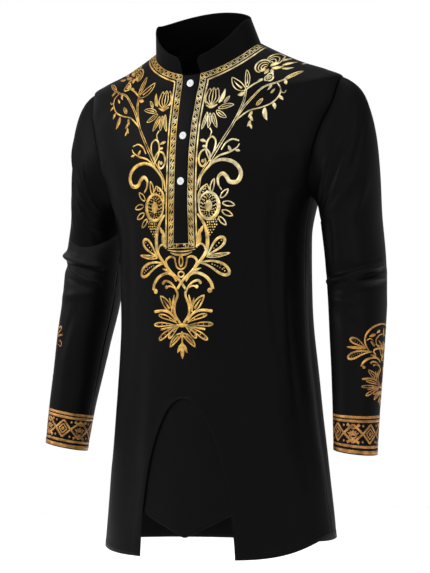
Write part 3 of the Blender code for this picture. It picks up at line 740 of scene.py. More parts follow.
front_cloth = make_front()
front_tree = outer_tree(front_cloth)
add_wall(front_cloth, CLOTH_THICK)
print("front faces:", len(front_cloth.data.polygons))

# %% [markdown]
# ### The back, the inset and the placket
# The back runs from side seam to side seam. The inset hangs behind the arch and ends in a
# point. The placket is two layers: the one on top fills the slit, and the other lies under it
# and is a little wider, so the cloth is closed when the collar's ends part.

# %% Back panel
def make_back():
    rows = row_heights()[0]
    drop = np.clip((ARCH_TOP - rows) / (ARCH_TOP - HEM), 0, 1)
    edge = np.pi / 2 + scoop(rows, BACK_SCOOP)
    share = np.linspace(0, 1, BACK_COLUMNS)
    angle = edge[:, None] + (2 * np.pi - 2 * edge)[:, None] * share
    level = rows[:, None] + drop[:, None] * (hem_height(angle) - HEM)
    points = body_point(angle, level, hem_step(level - hem_height(angle)))
    return mesh_piece("back_cloth", points, grid_quads(*points.shape[:2]), BODY_CLOTH,
                      grid_uv(points))


back_cloth = make_back()
back_tree = outer_tree(back_cloth)
add_wall(back_cloth, CLOTH_THICK)
print("back faces:", len(back_cloth.data.polygons))

# %% Inset behind the arch
INSET_LAP, INSET_TIP, INSET_SLOPE, INSET_DEPTH, INSET_SOFT = 0.014, -0.827, 0.47, 0.0024, 0.004
INSET_ROWS, INSET_COLUMNS = 66, 61


def make_inset():
    up = np.linspace(0, 1, INSET_ROWS)[:, None]
    across = np.linspace(-1, 1, INSET_COLUMNS)[None, :]
    reach = ARCH_HALF + INSET_LAP
    top = ARCH_TOP + INSET_LAP - 0.05 * across**2
    bottom = INSET_TIP + INSET_SLOPE * np.sqrt((across * reach) ** 2 + INSET_SOFT**2)
    level = bottom + (top - bottom) * up
    near = np.minimum(level - 0.004, ARCH_TOP - 0.002)
    wide = np.minimum(reach, arch_half(near) + 2 * INSET_LAP)
    angle = signed_angle(across * wide, level)
    points = body_point(angle, level, hem_step(level - bottom) - INSET_DEPTH)
    return mesh_piece("inset_cloth", points, grid_quads(*points.shape[:2]), BODY_CLOTH,
                      grid_uv(points))


inset_cloth = make_inset()
inset_tree = outer_tree(inset_cloth)
add_wall(inset_cloth, CLOTH_THICK)
print("inset tip at", round(float(min(v.co.z for v in inset_cloth.data.vertices)), 4))

# %% Placket
PLACKET_ROWS, PLACKET_COLUMNS = 90, 17


def make_placket(name, extra, depth, bottom, crown):
    """A strip as wide as the slit plus extra, this deep inside, and crowned in the middle."""
    heights = np.linspace(bottom, NECK - SEAM_GAP, PLACKET_ROWS)[:, None]
    across = np.linspace(-1, 1, PLACKET_COLUMNS)[None, :]
    angle = signed_angle(across * (slit_half(heights) + extra), heights)
    swell = crown * (1 - across**6)
    points = body_point(angle, heights, swell - depth)
    return mesh_piece(name, points, grid_quads(*points.shape[:2]), BODY_CLOTH, grid_uv(points))


placket_over = make_placket("placket_over_cloth", -SEAM_GAP, 0.0, SLIT_BOTTOM + SEAM_GAP, 0.0006)
placket_tree = outer_tree(placket_over)
placket_under = make_placket("placket_under_cloth", 0.004, 0.0018, SLIT_BOTTOM - 0.012, 0.0)
for piece in (placket_over, placket_under):
    add_wall(piece, CLOTH_THICK)

# %% [markdown]
# ### The collar
# A stand collar is a straight band, stiffened with interfacing, so it keeps a smooth shape and
# a thick edge. Its two front ends are rounded at the top. The band is a ruled surface from the
# neck seam to its top ring, and a bevel rounds the folded edges.

# %% Stand collar
COLLAR_TOP = Ring(-0.0280, 0.0875, 0.056, 0.051, -0.021, 2.05, 0.037, 0.058)
COLLAR_CORNER, COLLAR_GAP_HALF, COLLAR_THICK, COLLAR_COLUMNS = 0.010, 0.0176, 0.0018, 241
COLLAR_START = float(angle_across(COLLAR_GAP_HALF, np.array([NECK]))[0])


def collar_point(angle, up):
    low = body_plain(angle, np.full(np.shape(angle), NECK))
    high = on_ring(COLLAR_TOP, angle)
    return mix(low, high, np.broadcast_to(up, np.shape(angle)))


def collar_grid(columns=COLLAR_COLUMNS, rows=19, low=0.006):
    share = np.linspace(0, 1, columns)
    eased = share - 0.10 * np.sin(2 * np.pi * share)
    angle = COLLAR_START + (2 * np.pi - 2 * COLLAR_START) * eased
    ends = np.full(1, COLLAR_START)
    tall = float(np.linalg.norm(collar_point(ends, 1.0) - collar_point(ends, 0.0)))
    from_end = np.minimum(angle - COLLAR_START, 2 * np.pi - COLLAR_START - angle)
    inside = np.maximum(COLLAR_CORNER - from_end * COLLAR_TOP.half_width, 0)
    cut = COLLAR_CORNER - np.sqrt(COLLAR_CORNER**2 - inside**2)
    up = np.linspace(low, 1, rows)[:, None] * (1 - cut / tall)[None, :]
    return collar_point(np.broadcast_to(angle, up.shape), up)


collar_points = collar_grid()
collar_cloth = mesh_piece("collar_cloth", collar_points, grid_quads(*collar_points.shape[:2]),
                          COLLAR_CLOTH, grid_uv(collar_points))
collar_tree = outer_tree(collar_cloth)
add_wall(collar_cloth, COLLAR_THICK)
rounded = collar_cloth.modifiers.new("folded_edges", "BEVEL")
rounded.width, rounded.segments, rounded.angle_limit = 0.0006, 2, math.radians(50)
collar_back = line_length(collar_points[[0, -1], COLLAR_COLUMNS // 2])
print("collar height at the back, m:", round(collar_back, 4))

# %% [markdown]
# ### The sleeves
# Each sleeve is one closed grid round the arm. The two differ in their folds and in the tilt of
# their cuffs, because two arms bend differently. Otherwise the right one is the left mirrored.

# %% Sleeves
TURNS, HEAD_ROWS, ELBOW_ROWS, FOREARM_ROWS, ELBOW_END = 96, 60, 84, 70, 1.4
SIDES = {
    "left": (1, LEFT_SLEEVE_FOLDS + LEFT_SLEEVE_CREASES),
    "right": (-1, RIGHT_SLEEVE_FOLDS + RIGHT_SLEEVE_CREASES),
}


def make_sleeve(name, side, folds):
    head = np.linspace(0, 1, HEAD_ROWS)[:-1]
    elbow = np.linspace(1, ELBOW_END, ELBOW_ROWS)[:-1]
    forearm = np.linspace(ELBOW_END, 2, FOREARM_ROWS)
    along = np.concatenate([head, elbow, forearm])[::-1, None]
    turn = (side * np.arange(TURNS + 1) / TURNS)[None, :]
    edge = np.broadcast_to((2 - along) * SLEEVE_FALL, (len(along), TURNS + 1))
    points = sleeve_point(turn, along, folds, hem_step(edge), side)
    places = grid_uv(points)
    piece = mesh_piece(name, points, grid_quads(*points.shape[:2]), BODY_CLOTH, places)
    tidy_mesh(piece)
    return piece


sleeve_cloth = {}
for name, (side, folds) in SIDES.items():
    sleeve_cloth[name] = make_sleeve(f"sleeve_{name}_cloth", side, folds)
    add_wall(sleeve_cloth[name], CLOTH_THICK)
print("sleeve faces:", {name: len(s.data.polygons) for name, s in sleeve_cloth.items()})

# %% [markdown]
# ## The gold print
# Every line, leaf and dot of the print is a stroke: a smooth line whose width changes along
# it. A leaf is just a short stroke that is fat in the middle. The design is drawn
# flat, in millimetres from the middle of the front, and each stroke is then laid on the cloth
# as a thin raised ribbon. It could be a painted texture, but ribbons stay sharp at any
# distance, catch the light as foil does, and need no picture.

# %% Lines with a changing width
Stroke = namedtuple("Stroke", "points widths")
STEP = 1.6


def smooth_line(points, step=STEP):
    """A curve through the points, with a new point about every step."""
    points = np.asarray(points, float)
    if len(points) == 2:
        count = max(int(np.linalg.norm(points[1] - points[0]) / step), 2)
        return points[0] + (points[1] - points[0]) * np.linspace(0, 1, count + 1)[:, None]
    ends = np.concatenate([[2 * points[0] - points[1]], points, [2 * points[-1] - points[-2]]])
    line = []
    for a, b, c, d in zip(ends[:-3], ends[1:-2], ends[2:-1], ends[3:]):
        count = max(int(np.linalg.norm(c - b) / step), 2)
        t = np.linspace(0, 1, count + 1)[:-1, None]
        line.append(0.5 * (2 * b + (c - a) * t + (2 * a - 5 * b + 4 * c - d) * t**2
                           + (3 * b - a - 3 * c + d) * t**3))
    return np.concatenate(line + [points[-1:]])


def beside(line):
    """The unit direction to the left of a line, at each of its points."""
    along = np.gradient(line, axis=0)
    side = np.stack([-along[:, 1], along[:, 0]], axis=1)
    return side / np.maximum(np.linalg.norm(side, axis=1), 1e-9)[:, None]


def stem(points, *widths):
    """A line that passes evenly through these widths, in millimetres."""
    line = smooth_line(points)
    share = np.linspace(0, 1, len(line))
    return Stroke(line, np.interp(share, np.linspace(0, 1, len(widths)), widths))


def twin_stem(points, start, end, line_wide):
    """A stem drawn as two lines, start wide over both at its foot and end wide at its tip."""
    line = smooth_line(points)
    half = (np.linspace(start, end, len(line)) - line_wide)[:, None] / 2
    widths = np.full(len(line), line_wide)
    return [Stroke(line + beside(line) * half, widths), Stroke(line - beside(line) * half, widths)]


# %% Leaves, drops and dots
def bowed(base, tip, bend, share):
    """Points from base to tip, on a line that bows to its left by bend millimetres."""
    base, tip = np.asarray(base, float), np.asarray(tip, float)
    run = tip - base
    side = np.array([-run[1], run[0]]) / np.linalg.norm(run)
    return base + run * share[:, None] + side * bend * 4 * (share * (1 - share))[:, None]


def leaf(base, tip, wide, bend=0.0):
    """A filled leaf."""
    share = np.linspace(0, 1, 11)
    return [Stroke(bowed(base, tip, bend, share), 0.3 + wide * np.sin(np.pi * share**0.8) ** 0.9)]


def round_points(centre, angles, wide, tall=None):
    """Points at these angles round a centre, on a circle or, with tall, on an oval."""
    tall = wide if tall is None else tall
    return np.asarray(centre) + np.stack([wide * np.cos(angles), tall * np.sin(angles)], axis=-1)


def blob(centre, half_wide, half_tall, count=9):
    """A filled oval."""
    way = np.linspace(-0.98, 0.98, count)
    points = np.asarray(centre) + np.stack([np.zeros(count), way * half_tall], axis=1)
    return [Stroke(points, 2 * half_wide * np.sqrt(1 - way**2))]


def dot(centre, radius):
    return blob(centre, radius, radius, 5)


def oval(centre, half_wide, half_tall, *widths):
    """An oval line, from its outer side round by the top, through these widths."""
    around = np.linspace(0, 2 * np.pi, 45)
    line = round_points(centre, around, half_wide, half_tall)
    return [Stroke(line, np.interp(around, np.linspace(0, 2 * np.pi, len(widths)), widths))]


def outlined(middle, half, widths):
    """A closed outline, half to each side of a middle line."""
    side = beside(middle) * half[:, None]
    rim = np.concatenate([middle + side, (middle - side)[::-1][1:]])
    return Stroke(rim, np.concatenate([widths, widths[::-1][1:]]))


def open_leaf(base, tip, wide, bend=0.0, line_wide=1.6, vein=0.26):
    """A pointed leaf drawn as an outline, with a vein this share of its width inside."""
    share = np.linspace(0, 1, 15)
    middle = bowed(base, tip, bend, share)
    half = 0.5 * (wide - line_wide) * np.sin(np.pi * share**0.9) ** 0.75
    strokes = [outlined(middle, half, np.full(15, line_wide))]
    if vein:
        strokes.append(Stroke(middle[3:12], np.linspace(vein * wide, 0.7, 9)))
    return strokes


def drop(base, tip, wide, bend=0.0, line_wide=4.0, dots=0):
    """A drop drawn as an outline: pointed at its base and round at its tip, with dots inside."""
    share = 1 - (1 - np.linspace(0, 1, 17)) ** 2
    middle = bowed(base, tip, bend, share)
    half = 0.5 * (wide - line_wide) * np.sqrt(np.maximum(np.sin(np.pi * share**2.2), 0))
    strokes = [outlined(middle, half, line_wide * (0.5 + 0.5 * share))]
    for place in bowed(base, tip, bend, np.linspace(0.42, 0.86, dots)):
        strokes += dot(place, 1.1)
    return strokes


def mirrored(strokes):
    return strokes + [Stroke(s.points * np.array([-1, 1]), s.widths) for s in strokes]


# %% From strokes to foil
FOIL_THICK = 0.00012


def ribbon_mesh(lines, lift=0.00006, layer=0.000016, layers=9):
    """Points, faces and heights of flat ribbons. lines holds (centres, outward ways, widths).

    Ribbons that cross would share a plane, so each lies a hair higher than the one before.
    """
    points, faces, heights, count = [], [], [], 0
    for k, (centres, normals, widths) in enumerate(lines):
        side = unit(np.cross(normals, np.gradient(centres, axis=0)) + 1e-12)
        half = side * widths[:, None] / 2
        height = lift + layer * (k % layers)
        centres = centres + normals * height
        rim = np.stack([centres - half, centres, centres + half], axis=1)
        points.append(rim.reshape(-1, 3))
        heights.append(np.full(rim.shape[0] * 3, height))
        faces.append(grid_quads(len(centres), 3)[:, ::-1] + count)
        count += rim.shape[0] * 3
    return np.concatenate(points), np.concatenate(faces), np.concatenate(heights)


def settle(points, faces, heights, tree):
    """Lays each point on the nearest cloth, at its own height above it."""
    laid = np.empty_like(points)
    for k, point in enumerate(points):
        place, normal = tree.find_nearest(Vector(point))[:2]
        laid[k] = place + normal * heights[k]
    return laid, faces


def foil_piece(name, points, faces):
    piece = mesh_piece(name, points, faces, GOLD_FOIL)
    add_wall(piece, FOIL_THICK, 1.0)
    return piece


# %% Laying strokes on the front
def on_front(strokes, tree):
    """Strokes in millimetres, seen from the front, as lines on the cloth."""
    lines = []
    for stroke in strokes:
        places = []
        for (x, z), width in zip(stroke.points / 1000, stroke.widths / 1000):
            hit, normal = tree.ray_cast(Vector((x, -1.0, z)), Vector((0, 1, 0)))[:2]
            if hit is not None and normal.y < 0:
                places.append((*hit, *normal, width))
        if len(places) > 2:
            values = np.array(places)
            lines.append((values[:, :3], values[:, 3:6], values[:, 6]))
    return lines


# %% [markdown]
# ### The chest design
# The design is the same on both sides of the placket, so the tables hold the wearer's left half
# and the rest is mirrored. It is drawn with the plain leaf, bud, scroll and rosette forms of
# foil prints of this kind, not traced.

# %% Stems and leaves at the shoulder
def leaves(rows, shape=leaf, **extra):
    """Leaves from rows of base, tip, width and bend."""
    return [stroke for row in rows for stroke in shape(*row, **extra)]


shoulder = twin_stem([(33, -246), (37, -227), (54, -202), (74, -169), (92, -138), (103, -106),
                      (104, -84)],
                     5.8, 3.8, 1.35)
shoulder += twin_stem([(93, -136), (105, -115), (120, -96), (134, -82), (152, -76), (165, -71)],
                      4.4, 2.8, 1.2)
shoulder += [
    stem([(94, -137), (114, -122), (134, -117), (151, -110), (161, -98), (162, -86), (154, -76)],
         2.8, 2.4, 2.6, 2.0),
    stem([(104, -86), (115, -77), (129, -70)], 1.6, 3.4, 1.4),
    stem([(162, -91), (168, -94), (171, -90)], 1.8, 1.2),
]
shoulder += leaves((
    ((104, -86), (75, -63), 14, 3), ((105, -82), (97, -51), 9, -1),
    ((126, -113), (135, -102), 7, 0), ((163, -72), (188, -57), 7, 1),
), open_leaf)
shoulder += leaves((
    ((102, -90), (91, -94), 7, 1), ((141, -117), (147, -139), 8, -2),
    ((120, -122), (115, -133), 5, 1), ((119, -130), (124, -139), 5, -1),
    ((119, -138), (115, -148), 5, 1), ((119, -144), (123, -152), 4, 0),
    ((153, -110), (157, -121), 6, 1), ((160, -99), (168, -106), 5, 1),
    ((147, -94), (153, -86), 4, 0), ((146, -78), (141, -88), 4, 1),
    ((166, -72), (170, -80), 6, 0),
))
print("strokes at the shoulder:", len(shoulder))

# %% Roses at the shoulder
def rose(centre, radius):
    """A rose seen from above: a curl inside overlapping round petals."""
    turn = np.linspace(0, 3.4 * np.pi, 40)
    reach = radius * (0.10 + 0.42 * turn / turn[-1])
    strokes = [Stroke(round_points(centre, turn, reach), np.linspace(1.4, 1.9, 40))]
    for start in (0.2, 2.3, 4.4):
        way = np.linspace(start, start + 2.5, 16)
        out = radius * (0.66 + 0.34 * np.sin(np.linspace(0, np.pi, 16)))
        petal = round_points(centre, way, out)
        strokes.append(Stroke(petal, 1.2 + 1.5 * np.sin(np.linspace(0, np.pi, 16))))
        strokes.append(Stroke(np.asarray(centre) + (petal - centre)[3:13] * 0.84, np.full(10, 1.0)))
    return strokes


def shell(centre, radius, way):
    """A fluted petal: arcs inside one another that open one way."""
    strokes = []
    for share, wide in ((1.0, 3.0), (0.72, 1.7), (0.46, 1.7), (0.2, 1.8)):
        sweep = way + np.linspace(-2.0, 2.0, 22)
        base = round_points(centre, way, -0.7 * radius * (1 - share))
        arc = round_points(base, sweep, radius * share)
        strokes.append(Stroke(arc, wide * (0.45 + 0.55 * np.sin(np.linspace(0.2, 2.9, 22)))))
    return strokes


shoulder += shell((135, -35), 11, 1.1) + shell((121, -46), 11, 2.6) + rose((138, -66), 7.5)
shoulder += leaves((
    ((133, -47), (146, -41), 7, 2), ((136, -50), (154, -47), 7, -1), ((150, -46), (168, -40), 6, 1),
    ((152, -51), (170, -50), 5.5, -1), ((132, -51), (128, -60), 7, 0),
    ((136, -52), (142, -59), 6, 0),
    ((127, -50), (118, -56), 6, 0), ((146, -38), (156, -33), 5, 1), ((128, -68), (119, -74), 5, 0),
    ((176, -44), (188, -41), 4, 1), ((188, -44), (196, -47), 3, 0),
))

# %% Bud, loops and sprigs beside the placket
bud = [
    stem([(45, -110), (34, -99), (36, -84)], 1.6, 2.4, 1.6),
    stem([(47, -110), (58, -99), (56, -84)], 1.6, 2.4, 1.6),
    stem([(46, -109), (40, -97), (42, -83)], 1.4), stem([(46, -109), (52, -97), (50, -83)], 1.4),
    stem([(46, -109), (46, -95), (46, -81)], 1.4, 1.8, 1.2),
    stem([(36, -84), (39, -80), (42, -84), (46, -79), (50, -84), (53, -80), (56, -84)], 1.4),
    stem([(36, -108), (46, -112), (57, -108)], 2.0, 5.0, 2.0),
    stem([(49, -147), (53, -154), (51, -161)], 2.6, 1.6),
]
bud += leaves((
    ((59, -106), (67, -82), 7, -2), ((36, -106), (33, -90), 4, 1), ((62, -104), (66, -98), 4, 0),
))
bud += leaves((
    ((60, -115), (87, -110), 9, 1), ((57, -118), (77, -131), 9, -1),
    ((52, -122), (62, -147), 8, -1),
    ((46, -122), (46, -147), 8, 1), ((41, -120), (34, -149), 7, 1), ((69, -106), (77, -95), 6, 0),
), open_leaf, line_wide=1.5)
loops = [
    stem([(54, -203), (46, -186), (47, -170), (54, -162), (62, -169), (61, -183), (54, -198)],
         2.0, 3.0, 3.2, 3.0, 2.2),
    stem([(54, -204), (53, -191), (46, -183), (37, -186), (32.5, -197), (35, -207), (41, -211),
          (46, -205), (44, -198)], 2.4, 3.2, 3.4, 3.4, 2.6),
    stem([(73, -185), (80, -174), (91, -168), (103, -171)], 2.0, 3.0, 2.2),
    stem([(58, -203), (71, -194), (88, -189), (100, -182), (104, -176)], 2.2, 3.4, 1.6),
]
loops += dot((40.5, -202), 3.2) + leaf((33, -167), (45, -171), 5, 1)
loops += leaf((38, -177), (46, -178), 4)
loops += leaf((90, -188), (85, -178), 5, 0) + leaf((97, -186), (106, -188), 4, 0)
scroll = [stem([(30, -250), (35, -232), (47, -216), (60, -205), (76, -201), (93, -205), (104, -215),
                (107, -227), (101, -238), (89, -238), (83, -229), (76, -224), (69, -230),
                (69, -241), (75, -251)],
               2.6, 3.6, 4.8, 6.4, 7.2, 6.4, 1.6)]
print("strokes beside the placket:", len(bud) + len(loops) + len(scroll))

# %% Rosette with its small leaves
ROSETTE, ROSETTE_WIDE, ROSETTE_TALL = (52.0, -276.0), 17.6, 22.0
rosette = oval(ROSETTE, ROSETTE_WIDE, ROSETTE_TALL, 6.6, 4.0, 2.6, 5.6, 6.6)
rosette += blob(ROSETTE, 6.4, 9.5, 13)
shaken = np.random.default_rng(7)
for size, count in ((0.46, 9), (0.59, 13), (0.71, 16), (0.82, 18)):
    for way in np.linspace(0, 2 * np.pi, count, endpoint=False) + size * 9:
        sweep = way + np.array([-0.5, 0.0, 0.5]) * shaken.uniform(0.9, 2.2) / (size * 14)
        flake = round_points(ROSETTE, sweep, size * ROSETTE_WIDE, size * ROSETTE_TALL)
        rosette.append(Stroke(flake, np.array([0.8, 1.9, 0.8])))
rosette += [stem([(33, -271), (35, -255), (41, -246), (49, -240)], 2.0, 4.6, 4.0, 1.2),
            stem([(49, -240), (53, -248), (57, -254)], 1.4, 2.6, 2.0)]
for place in ((38, -257), (42, -253), (46, -248), (49, -252), (43, -249), (38, -263), (52, -253),
              (47, -245)):
    rosette += dot(place, 1.3)
rosette += leaves((
    ((73, -264), (86, -250), 9.5, 0), ((76, -273), (96, -277), 10, 1),
    ((75, -285), (92, -294), 10, 0), ((69, -295), (81, -309), 9, 0),
), open_leaf, line_wide=2.0, vein=0)
rosette += leaves((
    ((33, -343), (35, -314), 9, 0), ((36, -321), (42, -308), 5, 0),
))
rosette += open_leaf((57, -255), (62, -232), 8.5, 1, 2.2, 0)
for row in range(7):
    for across in np.arange(48 + 0.9 * row, 70 - 2.2 * row, 3.9):
        rosette += dot(np.array([across, -299 - 4.3 * row]) + shaken.uniform(-0.6, 0.6, 2), 1.35)
rosette += [
    stem([(32, -289), (43, -305), (48.5, -322), (49, -341), (45.5, -354), (33, -370), (20, -384),
          (7, -395), (0, -402), (-8, -413)], 3.0, 5.0, 6.2, 6.4, 5.6, 5.2, 4.8, 4.6, 4.2),
    stem([(27.6, -343.5), (36, -338.5), (43, -342), (46, -351)], 2.0, 3.4, 2.6),
]
print("strokes in the rosette:", len(rosette))

# %% Ornament below the placket
lower = drop((48, -359), (77, -330), 19, 0, 4.8, 4) + drop((34, -370), (83, -390), 21, 6, 5.0, 6)
for place in bowed((40, -372), (79, -384), 9, np.linspace(0.3, 0.9, 5)):
    lower += dot(place, 1.0)
lower += open_leaf((47, -360), (86, -355), 7.5, -1, 1.9, 0.2)
lower += [
    stem([(11, -368), (12.5, -361.5), (20, -359), (28, -363), (29.5, -370), (24, -379)],
         3.0, 4.2, 3.6),
    stem([(11, -367), (8, -376.5), (0, -381)], 2.8),
    stem([(9, -400), (17, -390), (29, -386.5), (44, -392), (54, -403), (57, -414)],
         3.0, 4.4, 5.4, 5.6),
    stem([(8, -419), (13, -410), (21, -402), (31, -399), (36, -402)], 3.6, 3.4, 4.4),
    stem([(14, -411), (21, -408), (28, -409)], 2.0, 3.0),
    stem([(8, -417), (8, -425), (13, -437), (14.5, -448), (12, -458), (3, -470)],
         4.2, 4.0, 4.4, 4.2),
    stem([(11, -466), (21, -454), (36, -448.5), (54, -450)], 3.6, 4.0, 5.0),
    stem([(10, -475), (26, -477), (43, -480)], 2.4, 3.2, 3.6),
]
lower += dot((52, -416), 4.4) + dot((36, -403), 2.6) + dot((29, -409.5), 3.2) + dot((54, -450), 2.5)
middle = [stem([(0, -487), (0, -508)], 5.0, 1.6), stem([(-12, -473), (12, -473)], 3.0, 7.0, 3.0)]
middle += open_leaf((0, -376), (0, -357), 9.5, 0, 2.6, 0) + oval((0, -388.5), 5.6, 4.6, 2.6)
middle += leaf((0, -510), (0, -529), 7) + leaf((0, -500), (0, -512), 5)
middle += leaf((0, -492), (0, -483), 8)
lower += open_leaf((20, -452), (42, -424), 14, 1, 2.6, 0.32)
lower += leaves((
    ((19, -447), (14, -422), 4.5, 0), ((21, -439), (24, -427), 3.4, 0),
    ((22, -385), (38, -379), 4.0, 1), ((1, -504), (9.5, -519), 6.5, 0),
))
lower += drop((9, -470), (46, -456), 8.5, 2, 2.4, 2) + drop((12, -473), (56, -472), 9, 1, 2.6, 3)
lower += drop((11, -475), (46, -497), 10, 1, 2.8, 3) + drop((7, -476), (26, -494), 9.5, 1, 2.8, 2)
lower += open_leaf((1, -487), (24, -509), 11, 2, 2.6, 0.36)
middle += [
    stem([(-27, -347.4), (-14, -350), (0, -350.8), (14, -350), (27, -347.4)],
         1.2, 2.2, 2.4, 2.2, 1.2),
    stem([(-21, -352), (-11, -355.4), (0, -356.4), (11, -355.4), (21, -352)],
         1.2, 3.2, 4.2, 3.2, 1.2),
]
print("strokes in the lower ornament:", len(lower))

# %% Foil on the chest
chest_strokes = mirrored(shoulder + bud + loops + scroll + rosette + lower) + middle
chest_lines = on_front(chest_strokes, front_tree)
chest_print = foil_piece("chest_print", *settle(*ribbon_mesh(chest_lines), front_tree))
print("ribbons on the chest:", len(chest_lines), "faces:", len(chest_print.data.polygons))

# %% [markdown]
# ### The band round the neck and the placket
# A band with a small key pattern follows the collar seam from each shoulder, turns down beside
# the placket and runs across under it, with a thin line outside. Its lines are worked out from
# the seam itself: each is the seam moved in by a few millimetres.

# %% Lines beside the neck seam and the slit
BAND_NEAR, BAND_FAR, BAND_UNDER, OUTER_LINE = 0.0010, 0.0106, 0.0082, 0.0156
NECK_STEPS, SLIT_STEPS, TRIM_WIDTHS, TRIM_STEP = 260, 180, (0.0010, 0.0014, 0.0027), 0.0015


def band_path(distance, under=None):
    """Points this far from the neck seam and then from the slit, from the shoulder down.

    under is how far below the slit the line crosses to the middle, or None where it stops.
    """
    angle = np.radians(np.linspace(89.6, 2, NECK_STEPS))
    seam = body_plain(angle, np.full(NECK_STEPS, NECK))
    lower_row = body_plain(angle, np.full(NECK_STEPS, NECK - 0.002))
    neck = seam + unit(lower_row - seam) * distance
    neck = neck[neck[:, 0] > slit_half(np.array(NECK)) + distance]
    corner = neck[-1, 2]
    foot = SLIT_BOTTOM - (BAND_UNDER if under is None else under)
    heights = np.linspace(corner, foot, SLIT_STEPS)[1:]
    across = slit_half(np.maximum(heights, SLIT_BOTTOM)) + distance
    share = np.clip((heights - SLIT_BOTTOM) / (corner - SLIT_BOTTOM), 0, 1)
    level = heights + (NECK - corner) * share
    side = body_plain(angle_across(across, level), level)
    side[:, 2] = heights
    if under is None:
        return np.concatenate([neck, side])
    base = np.linspace(across[-1], 0, 14)[1:]
    cross = np.stack([base, base * 0 + side[-1, 1], base * 0 + foot], axis=1)
    return np.concatenate([neck, side, cross])


def even_line(points, step):
    """The same line with points at even steps, and how far along each lies."""
    lengths = np.concatenate([[0], np.cumsum(np.linalg.norm(np.diff(points, axis=0), axis=1))])
    count = max(int(round(lengths[-1] / step)), 2)
    at = np.linspace(0, lengths[-1], count + 1)
    return np.stack([np.interp(at, lengths, points[:, k]) for k in range(3)], axis=1), lengths[-1]


def cloth_line(points, width, tree):
    """A line laid on the cloth, ready to be a ribbon."""
    normals = np.array([tree.find_nearest(Vector(p))[1] for p in points])
    return points, normals, np.full(len(points), width)


def key_pattern(near, far, period=0.0061, width=0.0013):
    """Small hooked keys between two lines, a period apart."""
    near_line, length = even_line(near, 0.0003)
    share = np.linspace(0, 1, len(near_line))
    far_even = even_line(far, 0.0003)[0]
    far_share = np.linspace(0, 1, len(far_even))
    far_line = np.stack([np.interp(share, far_share, far_even[:, k]) for k in range(3)], axis=1)
    shape = ((0.05, 0.16), (0.05, 0.82), (0.55, 0.82), (0.55, 0.48))
    keys = []
    for k in range(int(length / period)):
        path = []
        for along, over in shape:
            over = over if k % 2 else 1 - over
            place = min(int((k + along) * period / length * (len(share) - 1)), len(share) - 1)
            path.append(near_line[place] + (far_line[place] - near_line[place]) * over)
        keys.append(even_line(np.array(path), 0.0006)[0])
    return keys, width


trim_lines = []
near, far = band_path(BAND_NEAR, BAND_NEAR), band_path(BAND_FAR, BAND_UNDER)
outer = band_path(OUTER_LINE)
for path, width in zip((near, far, outer), TRIM_WIDTHS):
    trim_lines.append(cloth_line(even_line(path, TRIM_STEP)[0], width, front_tree))
keys, key_width = key_pattern(near, far)
trim_lines += [cloth_line(key, key_width, front_tree) for key in keys]
mirror = np.array([-1, 1, 1])
trim_lines += [(p * mirror, n * mirror, w) for p, n, w in trim_lines]
neck_trim = foil_piece("neck_trim", *settle(*ribbon_mesh(trim_lines), front_tree))
print("keys on each side:", len(keys))

# %% [markdown]
# ### The sleeves' print
# Each wrist has a border of nested diamonds, crossings and small palmettes between double
# lines, and above it, on the outside of the arm, the lower ornament again in a squatter form.
# These strokes are drawn in millimetres round and up the arm, and the sleeve's own surface
# rule places them.

# %% Laying strokes on a sleeve
def girth_above(above):
    """The sleeve's girth this far above the wrist's edge."""
    loop = sleeve_plain(np.linspace(0, 1, 120), np.full(120, 2 - above / SLEEVE_FALL))
    return line_length(loop)


def on_sleeve(strokes, side, folds, turn, above, scale=(1.0, 1.0)):
    """Strokes in millimetres round the arm from turn, and up from above the wrist's edge."""
    lines, girth = [], girth_above(above)
    for stroke in strokes:
        around = turn + stroke.points[:, 0] * scale[0] / 1000 / girth
        along = 2 - (above + stroke.points[:, 1] * scale[1] / 1000) / SLEEVE_FALL
        centres = sleeve_point(around, along, folds, 0.0, side)
        outside = sleeve_point(around, along, folds, 0.001, side)
        width = stroke.widths / 1000 * (sum(scale) / 2)
        lines.append((centres, unit(outside - centres), width))
    return lines


# %% Wrist border
PAIRS, DIAMOND_SHARE = 4, 0.45
BORDER_MIDDLE, BORDER_HALF = 0.0332, 14.6
BORDER_LINES = ((0.0044, 0.0056), (0.0127, 0.0046), (0.0528, 0.0042), (0.0590, 0.0042))
BORDER_TURN = 0.316


def diamond(half_wide, half_tall, wide):
    corners = [(0, half_tall), (half_wide, 0), (0, -half_tall), (-half_wide, 0), (0, half_tall)]
    return [stem([a, b], wide) for a, b in zip(corners, corners[1:])]


def shifted(strokes, way):
    return [Stroke(s.points + np.array(way), s.widths) for s in strokes]


def palmette():
    """A small spray of leaves over a chevron, inside crossing bands."""
    strokes = [stem([(-11, BORDER_HALF), (0, 8.4), (11, BORDER_HALF)], 5.0, 3.0, 5.0),
               stem([(-11, -BORDER_HALF), (0, -9.8), (11, -BORDER_HALF)], 5.0, 3.6, 5.0),
               stem([(-7, -3.6), (0, -7.4), (7, -3.6)], 1.4, 2.4, 1.4)]
    for x, y, wide in ((0, 6.2, 4.6), (5.4, 4.8, 4.2), (10.2, 1.6, 4.4), (7, -1.4, 3.0)):
        strokes += leaf((0, -2.6), (x, y), wide) + (leaf((0, -2.6), (-x, y), wide) if x else [])
    return strokes


